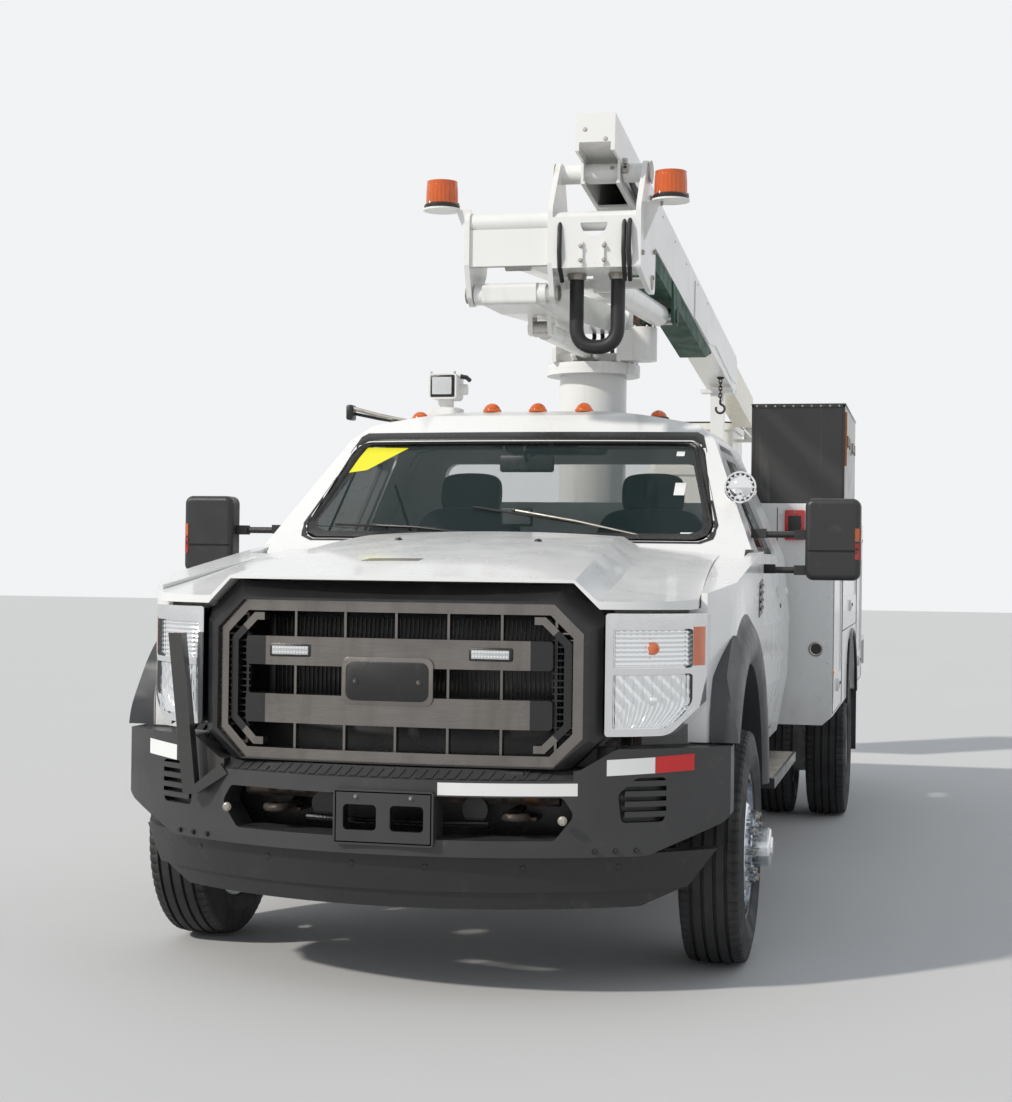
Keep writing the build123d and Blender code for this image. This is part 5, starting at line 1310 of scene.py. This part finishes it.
def outer_face(build, name, side):
    """A drip rail over the doors, seals round them, the side markers and the arch's edge."""
    x = side * BODY_EDGE
    build.tube([(x + side * 3, 2230, 1652), (x + side * 3, 5530, 1652)], 5, "body_white", 8)
    for z in (1560, 900):
        for y, finish in ((2228, "amber"), (5536, "red")):
            marker = [(0, 8), (7, 7), (13, 4), (15, 0)]
            build.button("body_" + name, FLANKS[side], y, z, marker, finish, 20)
    for door in DOORS:
        low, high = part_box(f"body_door_{name}_{door}")
        (_, y0, z0), (_, y1, z1) = back(low), back(high)
        for edges in ((y0 - 14, y0 - 6), (y1 + 6, y1 + 14)):
            build.box((x - side, x + side * 2), edges, (z0, z1), "rubber", 0.8)
    arch = [(x + side * 4, WHEELBASE + 560 * c, 660 + 380 * s) for c, s in spots(19, 1.0, 0, 10)]
    build.tube(arch, 9, "trim_black", 8)


def rear_face(build, side):
    """A rubber flap behind each pair of wheels, hung from the floor on a steel strip."""
    x0, x1 = sorted((side * 690, side * 1180))
    y = 5420
    build.box((x0, x1), (y, y + 8), (250, 668), "rubber", 2)
    build.box((x0, x1), (y - 6, y + 12), (630, 662), "zinc", 2)
    for k in range(4):
        build.bolt((x0 + 60 + k * 123, y - 6, 646), FORWARD, "zinc", 8)
    for z in (780, 905):
        build.box((side * 700, side * 1180), (TAIL_Y, TAIL_Y + 4), (z - 4, z + 4), "trim_black", 1)


def tail_lamp(build, x):
    """A lens of rings with a clear middle."""
    rings = [(0, 5), (14, 5), (16, 2)]
    for radius in (22, 29, 36, 43):
        rings += [(radius - 3, 2), (radius, 5)]
    build.turn(rings + [(48, 2), (50, 0)], (x, TAIL_Y, 850), REARWARD, "red", 36)
    build.turn([(0, 7), (12, 6), (14, 4)], (x, TAIL_Y, 850), REARWARD, "reflector", 24)


def tread_plate(build):
    """Raised lozenges on the tail shelf and its rear step."""
    for row in range(11):
        y = 5600 + row * 42
        for k in range(52):
            x = -1110 + k * 43.5 + (21 if row % 2 else 0)
            z = touch("body_deck", "above", x, y)[0].z
            lean = 12 if (row + k) % 2 else -12
            corners = [(x - 12, y - lean), (x - 3, y + 2), (x + 12, y + lean), (x + 3, y - 2)]
            points = [(u, v, z - 0.5) for u, v in corners] + [(x, y, z + 2.5)]
            build.mesh(points, [(0, 1, 4), (1, 2, 4), (2, 3, 4), (3, 0, 4)], "zinc")


def latch(build, node, side):
    """A paddle in the door's latch plate, with a round lock."""
    low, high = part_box(node)
    (_, y0, z0), (_, y1, _) = back(low), back(high)
    x, y, z = side * (BODY_EDGE + 5), (y0 + y1) / 2, z0 + 112
    build.box((x - side * 2, x + side * 5), (y - 50, y + 50), (z - 8, z + 12), "zinc", 2)
    lock = [(0, 5), (8, 4), (9, 0)]
    build.turn(lock, (x + side * 5, y + 63, z + 6), (side, 0, 0), "trim_black", 16)


def box_fittings(build):
    """A lid frame, folded crease, hinges, rivets and the strip on its outer edge."""
    front, x0, x1, low, high = 2210, 816, 1246, 1680, 2138
    for a, b, c, d in (
        (x0, x1, high - 14, high + 2), (x0, x1, low, low + 12),
        (x0, x0 + 12, low, high), (x1 - 12, x1, low, high),
    ):
        build.box((a, b), (front - 5, front + 2), (c, d), "box_black", 2)
    crease = [(829, 1932), (1109, 1714), (1113, 1719), (833, 1937)]
    build.prism(crease, (0, 2, 1), (front - 2.5, front + 1), "box_black")
    build.box((x1 - 1, x1 + 9), (front - 3, front + 16), (1854, 2104), "orange_strip", 3)
    build.box((x0 - 3, x1 + 4), (front - 3, 3303), (high - 3, high + 6), "box_black", 3)
    for y in (2500, 3010):
        build.box((x1 - 2, x1 + 8), (y - 45, y + 45), (1960, 2010), "zinc", 3)
        build.box((x1 + 6, x1 + 14), (y - 14, y + 14), (1948, 2000), "zinc", 3)
    for k in range(10):
        place = (x0 + 24 + k * 42, front - 5, high - 6)
        build.turn([(0, 3), (5, 2), (6, 0)], place, FORWARD, "zinc", 8)


class TRUCK_OT_body(Fitting, bpy.types.Operator):
    """Add the service body's trim, lamps' lenses, latches, flaps, tread plate and box fittings"""

    bl_idname = "truck.body"
    bl_label = "Service body fittings"

    def execute(self, context):
        make(front_face, "body_front_trim", "chassis", "white_paint", BOTH)
        make(outer_face, "body_side_trim", "chassis", "white_paint", SIDES)
        make(rear_face, "body_rear_trim", "chassis", "black_metal", BOTH)
        lamps = [(x,) for x in (-1080, -880, 880, 1080)]
        make(tail_lamp, "tail_lenses", "chassis", "red_lens", lamps, smooth=25)
        make(tread_plate, "tread_plate", "chassis", "aluminium")
        for name, side in SIDES:
            for door in DOORS:
                node = f"body_door_{name}_{door}"
                make(latch, f"latch_{name}_{door}", node, "steel", [(node, side)])
        make(box_fittings, "top_box_fittings", "chassis", "black_metal")
        return {"FINISHED"}


MAST_Y = 2560
# heights: a spot of the column over the first is its flange, one of the turret under the other its disc
FLANGE_OVER, DISC_UNDER = 2200, 2380
MOTOR_X, MOTOR_Y = 265, 2410
CHAIN_X, CHAIN_Y = 396, 4610
ELBOW_BOLTS = {
    -1: ((640, 2600), (640, 2740), (860, 2640), (720, 2470)),
    1: ((640, 2600), (700, 2800), (900, 2540), (940, 2650), (840, 2850)),
}


def base_bolts(build):
    """Bolts under the column's flange, where it reaches that far, and on its foot plates."""
    for c, s in spots(16, 268, 11.25):
        spot = touch("pedestal", "below", c, MAST_Y + s)[0]
        if spot.z > FLANGE_OVER:
            build.bolt(spot, (0, 0, -1), "zinc", 11)
    for x in (-285, 285):
        for y in (2290, 2440, 2680, 2830):
            build.bolt_on("pedestal", "above", x, y, "zinc", 14)


def turret_parts(build):
    """Bolts on the turning disc, pin keepers, the slew motor and its hoses."""
    for c, s in spots(20, 214):
        spot = touch("turret", "above", c, MAST_Y + s)[0]
        if spot.z < DISC_UNDER:
            build.bolt(spot, UP, "zinc", 9)
    for side in (-1, 1):
        for y, z, radius in ((2760, 2610, 40), (2880, 2758, 28)):
            keeper = [(0, 4), (radius, 4), (radius, -1)]
            build.turn(keeper, (side * 166, y, z), (side, 0, 0), "zinc", 24)
            build.bolt((side * 170, y, z), (side, 0, 0), "axle_iron", 9)
    motor = [(0, 0), (46, 0), (46, 70), (40, 78), (22, 82), (22, 96), (0, 96)]
    build.turn(motor, (MOTOR_X, MOTOR_Y, 2531), UP, "axle_iron", 28)
    for c, s in spots(6, 58):
        build.bolt((MOTOR_X + c, MOTOR_Y + s, 2531), UP, "zinc", 6)
    for x in (-70, 0, 70):
        path = [(x, 2700, 2420), (x * 0.8, 2770, 2460), (x * 0.6, 2800, 2540), (x * 0.6, 2770, 2600)]
        build.tube(path, 11, "hose_black", 10)


def elbow_parts(build):
    """Bolts round the elbow's plates, pin caps and the hoses that drop at its front."""
    for side, bolts in ELBOW_BOLTS.items():
        for y, z in bolts:
            build.bolt(touch("elbow", FLANKS[side], y, z)[0], (side, 0, 0), "zinc", 9)
        for y, z, r in ((700, 2455, 34), (800, 2945, 46), (900, 2520, 30)):
            cap = [(0, 5), (r * 0.7, 5), (r, 2), (r, -1)]
            build.turn(cap, touch("elbow", FLANKS[side], y, z)[0], (side, 0, 0), "zinc", 24)
    for x in (300, 392):
        for z in (2566, 2622):
            build.bolt((x, 590, z), FORWARD, "zinc", 7)
    for k, x in enumerate((215, 470, 492)):
        path = [
            (x, 640, 2760), (x, 596 - 6 * k, 2700), (x, 588 - 6 * k, 2600), (x, 600, 2545),
            (x * 0.98, 680, 2500),
        ]
        build.tube(path, 9, "hose_black", 10)
    for x in (255, 421):
        build.turn([(38, 0), (40, -6), (34, -26), (30, -26)], (x, 760, 2540), UP, "zinc", 24)


def along_boom(distance, above, x):
    """A point of the upper boom from its pivot, in millimetres from the axle."""
    c, s = math.cos(UPPER_SLOPE), math.sin(UPPER_SLOPE)
    y, z = distance * c + above * s, above * c - distance * s
    return Vector((x, UPPER_PIVOT_Y + y, UPPER_PIVOT_Z + z))


def upper_parts(build):
    """Plugs on the butt plate, hose runs with their clips, and rivets and bolts along the tube."""
    for x, z in ((309, 3000), (356, 2999), (391, 3040), (309, 3080), (391, 2960)):
        build.button("upper_boom", "front", x, z, [(0, 4), (7, 3.5), (9, 0)], "zinc", 20)
    for lift, reach in ((8, 640), (22, 560), (36, 480)):
        path = []
        for t in spread(0, 1, 14):
            path.append(along_boom(-60 + reach * t, lift - 34 * math.sin(math.pi * t), 446))
        build.tube(path, 8, "hose_black", 8)
    for distance in (-50, 420, 500, 570):
        _, y, z = along_boom(distance, 10, 442)
        build.box((434, 456), (y - 9, y + 9), (z - 24, z + 34), "zinc", 3)
    for distance in range(700, 4061, 420):
        z = along_boom(distance, 140, 0).z
        rivet = [(0, 2), (4, 1.6), (6, 0)]
        build.button("upper_boom", "driver", distance + 800, z, rivet, "trim_black", 12)
    for above in (-40, 150):
        for x in (280, 420):
            build.bolt(along_boom(4396, above, x), (0, 1, -0.1), "zinc", 9)
    for distance in (500, 1500, 2500, 3500):
        for x in (285, 415):
            build.bolt_on("upper_boom", "above", x, along_boom(distance, 180, x).y, "zinc", 7)


def chain(build):
    """A short chain, its shackle and a hook under the outer boom's end."""
    x, y = CHAIN_X, CHAIN_Y
    top = touch("upper_boom", "below", x, y)[0].z
    build.box((x - 20, x + 20), (y - 14, y + 14), (top - 10, top + 2), "axle_iron", 3)
    for k in range(6):
        z = top - 24 - 21 * k
        loop = [(0, c, s) if k % 2 else (c, 0, s) for c, s in spots(13, 1.0, 0, 30)]
        build.tube([(x + 9 * a, y + 9 * b, z + 15 * c) for a, b, c in loop], 3.5, "axle_iron", 8)
    z = top - 150
    bow = [(x + c, y, z - 38 + s) for c, s in spots(15, 26, 60, -19)]
    build.tube(bow, 7, "axle_iron", 10)
    build.tube([(x, y, z + 14), (x, y, z - 6), (x + 10, y, z - 16)], 8, "axle_iron", 10)


def tip_parts(build):
    """Control valve, levers and hoses between the inner boom's tip and the bucket."""
    low, high = (back(corner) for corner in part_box("bucket_mount"))
    x, y, z = high.x - 2, (low.y + high.y) / 2, high.z
    build.box((x - 60, x - 6), (y - 70, y + 60), (z - 2, z + 46), "trim_black", 8)
    for along in (-48, -18, 12, 42):
        foot, knob = (x - 34, y + along, z + 44), (x - 34, y + along + 4, z + 96)
        build.rod(foot, (x - 34, y + along + 4, z + 92), 4, "zinc", 8)
        build.ball(knob, 8, "trim_black", 10)
    for k in range(3):
        start = Vector((x - 44 + k * 14, low.y + 40, z - 10))
        bends = ((0, 0, 0), (4, -60, 26), (6, -150, 22), (4, -210, -8))
        build.tube([start + Vector(bend) for bend in bends], 7, "hose_black", 8)


class TRUCK_OT_boom(Fitting, bpy.types.Operator):
    """Add the boom's bolts, plugs, hoses, hook and chain"""

    bl_idname = "truck.boom"
    bl_label = "Boom fittings"

    def execute(self, context):
        make(base_bolts, "pedestal_bolts", "chassis", "steel")
        make(turret_parts, "turret_fittings", "turret", "steel")
        make(elbow_parts, "elbow_fittings", "elbow", "steel")
        make(upper_parts, "upper_boom_fittings", "upper_boom", "steel")
        make(chain, "hook_and_chain", "upper_boom", "cast_iron")
        make(tip_parts, "boom_tip_fittings", "bucket_mount", "black_metal")
        return {"FINISHED"}


# each beacon's X and Y, foot and top
BEACONS = ((-290, 700, 2803, 2913), (635, 700, 2813, 2923))
FLUTES = 24


def beacon(build, x, y, low, high):
    base = [(70, -2), (72, 2), (72, 14), (65, 20), (62, 20)]
    build.turn(base, (x, y, low), UP, "trim_black", 48)
    rows = []
    tall = high - low
    for level, scale in ((20, 1.0), (60, 0.995), (tall - 16, 0.97), (tall - 4, 0.9)):
        row = []
        for k, (c, s) in enumerate(spots(FLUTES * 4, 1.0)):
            radius = (62.5 + 2.2 * abs(math.sin(math.pi * k / 4))) * scale
            row.append((x + radius * c, y + radius * s, low + level))
        rows.append(row)
    build.grid(rows, "amber", closed=True)
    build.turn([(0, 5), (30, 4), (50, 1), (57, -3)], (x, y, high), UP, "amber", 48)
    for c, s in spots(3, 68):
        build.bolt((x + c, y + s, low + 14), UP, "zinc", 4)


class TRUCK_OT_beacons(Fitting, bpy.types.Operator):
    """Give the two beacons their fluted lenses and black bases"""

    bl_idname = "truck.beacons"
    bl_label = "Beacons"

    def execute(self, context):
        make(beacon, "beacon_lenses", "elbow", "amber_lens", BEACONS, smooth=30)
        return {"FINISHED"}


LIP_Z = 2393
LIP_RIGHT = 280
BUCKET_REAR = 7268


def bucket_parts(build):
    """A rubber trim along the rolled lip, and two foot steps and pins on the rear wall."""
    low, high = (back(corner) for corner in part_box("bucket"))
    lip = rounded(low.x + 9, min(high.x, LIP_RIGHT) - 9, low.y + 9, high.y - 9, 70, 6)
    build.tube([(x, y, LIP_Z) for x, y in [*lip, lip[0]]], 9, "rubber", 10)
    for z in (1620, 1960):
        y = min(touch("bucket", "rear", -30, z)[0].y, BUCKET_REAR)
        build.box((-160, 100), (y - 2, y + 10), (z - 10, z + 10), "rubber", 4)
        for x in range(-150, 82, 21):
            build.box((x, x + 10), (y + 9, y + 12), (z - 7, z + 7), "trim_black", 1)
    for x in (-290, 236):
        for z in (1480, 1800, 2120):
            build.button("bucket", "rear", x, z, [(0, 4), (8, 3), (10, 0)], "zinc", 16)


class TRUCK_OT_bucket(Fitting, bpy.types.Operator):
    """Add the bucket's rim trim and foot steps"""

    bl_idname = "truck.bucket"
    bl_label = "Bucket fittings"

    def execute(self, context):
        make(bucket_parts, "bucket_fittings", "bucket", "fibreglass")
        return {"FINISHED"}


# the route's points, in metres from the front axle; the hose leaves one gland for the other
HOSE_ROUTE = (
    (0.255, 0.760, 2.5397), (0.255, 0.760, 2.413), (0.255, 0.760, 2.247),
    (0.421, 0.760, 2.247), (0.421, 0.760, 2.413), (0.421, 0.760, 2.5397),
)
HOSE_DIAMETER = 0.058


class TRUCK_OT_hose(Fitting, bpy.types.Operator):
    """Hang the hydraulic hose loop under the elbow as a round cord along a curve"""

    bl_idname = "truck.hose"
    bl_label = "Hose loop"

    def execute(self, context):
        curve = bpy.data.curves.new("hose_loop", "CURVE")
        curve.dimensions = "3D"
        spline = curve.splines.new("NURBS")
        spline.points.add(len(HOSE_ROUTE) - 1)
        for point, (x, y, z) in zip(spline.points, HOSE_ROUTE):
            point.co = (x, y + AXLE_Y, z, 1.0)
        spline.order_u = 3
        spline.use_endpoint_u = True
        spline.resolution_u = 8
        curve.bevel_depth = HOSE_DIAMETER / 2
        curve.bevel_resolution = 6
        curve.use_fill_caps = True
        curve.materials.append(FINISH["hose_black"])
        cord = bpy.data.objects.new("hose_loop", curve)
        bpy.context.scene.collection.objects.link(cord)
        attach(cord, "elbow")
        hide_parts("hose")
        x, y, z = HOSE_ROUTE[0]
        return {"FINISHED"}


# the photograph's camera: turn, tilt and roll in degrees, its place, and its lens on a 36 mm film
CAMERA_TURN = (12.911, 0.468, 0.725)
CAMERA_PLACE = (1664.8, -6597.8, 1370.5)
CAMERA_LENS = 61.396


def set_camera(scene):
    """The camera at the photograph's viewpoint."""
    yaw, pitch, roll = (math.radians(a) for a in CAMERA_TURN)
    c, s = math.cos(pitch), math.sin(pitch)
    ahead = Vector((-math.sin(yaw) * c, math.cos(yaw) * c, s))
    right = Vector((math.cos(yaw), math.sin(yaw), 0))
    up = right.cross(ahead)
    c, s = math.cos(roll), math.sin(roll)
    data = bpy.data.cameras.new("camera")
    data.lens = CAMERA_LENS
    data.sensor_width = 36
    data.clip_start, data.clip_end = 0.1, 300
    camera = bpy.data.objects.new("camera", data)
    scene.collection.objects.link(camera)
    turned = Matrix((right * c + up * s, up * c - right * s, -ahead)).transposed().to_4x4()
    camera.matrix_world = Matrix.Translation(at(*CAMERA_PLACE)) @ turned
    scene.camera = camera


class TRUCK_OT_stage(Fitting, bpy.types.Operator):
    """Lay the floor, hang the lamps and set the camera"""

    bl_idname = "truck.stage"
    bl_label = "Stage"

    def execute(self, context):
        scene, sizes = context.scene, context.scene.truck_sizes
        floor = Build()
        points = [(x, y, -2) for x, y in oblong(-60000, 60000, -60000, 60000)]
        floor.mesh(points, [range(4)], "tape_white")
        data = bpy.data.meshes.new("studio_floor")
        floor.bm.to_mesh(data)
        floor.bm.free()
        ground = bpy.data.objects.new("studio_floor", data)
        scene.collection.objects.link(ground)
        finish = Finish("studio_floor", sizes.floor_color, 0.9)
        finish.stain(finish.noise(0.6, 0.3, 0.8, 6.0), [c * 0.96 for c in sizes.floor_color], 0.5)
        data.materials.append(finish.mat)
        world = bpy.data.worlds.new("studio")
        scene.world = world
        world.use_nodes = True
        nodes, link = world.node_tree.nodes, world.node_tree.links.new
        soft = nodes["Background"]
        soft.inputs["Color"].default_value = (0.86, 0.92, 1.0, 1.0)
        soft.inputs["Strength"].default_value = 0.62
        seen = nodes.new("ShaderNodeBackground")
        seen.inputs["Color"].default_value = (0.93, 0.94, 0.95, 1.0)
        seen.inputs["Strength"].default_value = 0.95
        rays = nodes.new("ShaderNodeLightPath")
        pick = nodes.new("ShaderNodeMixShader")
        mask = rays.outputs["Is Camera Ray"]
        for ray in ("Is Glossy Ray", "Is Transmission Ray"):
            either = nodes.new("ShaderNodeMath")
            either.operation = "MAXIMUM"
            link(mask, either.inputs[0])
            link(rays.outputs[ray], either.inputs[1])
            mask = either.outputs[0]
        link(mask, pick.inputs[0])
        link(soft.outputs[0], pick.inputs[1])
        link(seen.outputs[0], pick.inputs[2])
        link(pick.outputs[0], nodes["World Output"].inputs["Surface"])
        sun = bpy.data.lights.new("key", "SUN")
        sun.energy = sizes.key_strength
        sun.angle = math.radians(3)
        sun.color = (1.0, 0.96, 0.9)
        lamp = bpy.data.objects.new("key", sun)
        scene.collection.objects.link(lamp)
        lamp.rotation_mode = "QUATERNION"
        lamp.rotation_quaternion = Vector((0.62, 0.62, -0.62)).to_track_quat("-Z", "Y")
        scene.view_settings.view_transform = "Standard"
        set_camera(scene)
        return {"FINISHED"}


class TRUCK_PT_panel(bpy.types.Panel):
    """Shows the sizes and the operators' buttons in the sidebar"""

    bl_idname = "TRUCK_PT_panel"
    bl_label = "Cherry picker truck"
    bl_space_type = "VIEW_3D"
    bl_region_type = "UI"
    bl_category = "Truck"

    def draw(self, context):
        for name in TruckSizes.__annotations__:
            self.layout.prop(context.scene.truck_sizes, name)
        for operator in OPERATORS:
            self.layout.operator(operator.bl_idname)


OPERATORS = (
    TRUCK_OT_stage,
    TRUCK_OT_hose,
    TRUCK_OT_paint,
    TRUCK_OT_tyres,
    TRUCK_OT_wheels,
    TRUCK_OT_headlamps,
    TRUCK_OT_grille,
    TRUCK_OT_bumper,
    TRUCK_OT_bonnet,
    TRUCK_OT_glass,
    TRUCK_OT_cab,
    TRUCK_OT_seats,
    TRUCK_OT_interior,
    TRUCK_OT_body,
    TRUCK_OT_boom,
    TRUCK_OT_beacons,
    TRUCK_OT_bucket,
)
CLASSES = (TruckSizes, *OPERATORS, TRUCK_PT_panel)


def register():
    for cls in CLASSES:
        bpy.utils.register_class(cls)
    bpy.types.Scene.truck_sizes = PointerProperty(type=TruckSizes)


def unregister():
    del bpy.types.Scene.truck_sizes
    for cls in reversed(CLASSES):
        bpy.utils.unregister_class(cls)


def main():
    register()
    for operator in OPERATORS:
        group, name = operator.bl_idname.split(".")
        getattr(getattr(bpy.ops, group), name)()


if __name__ == "__main__":
    main()
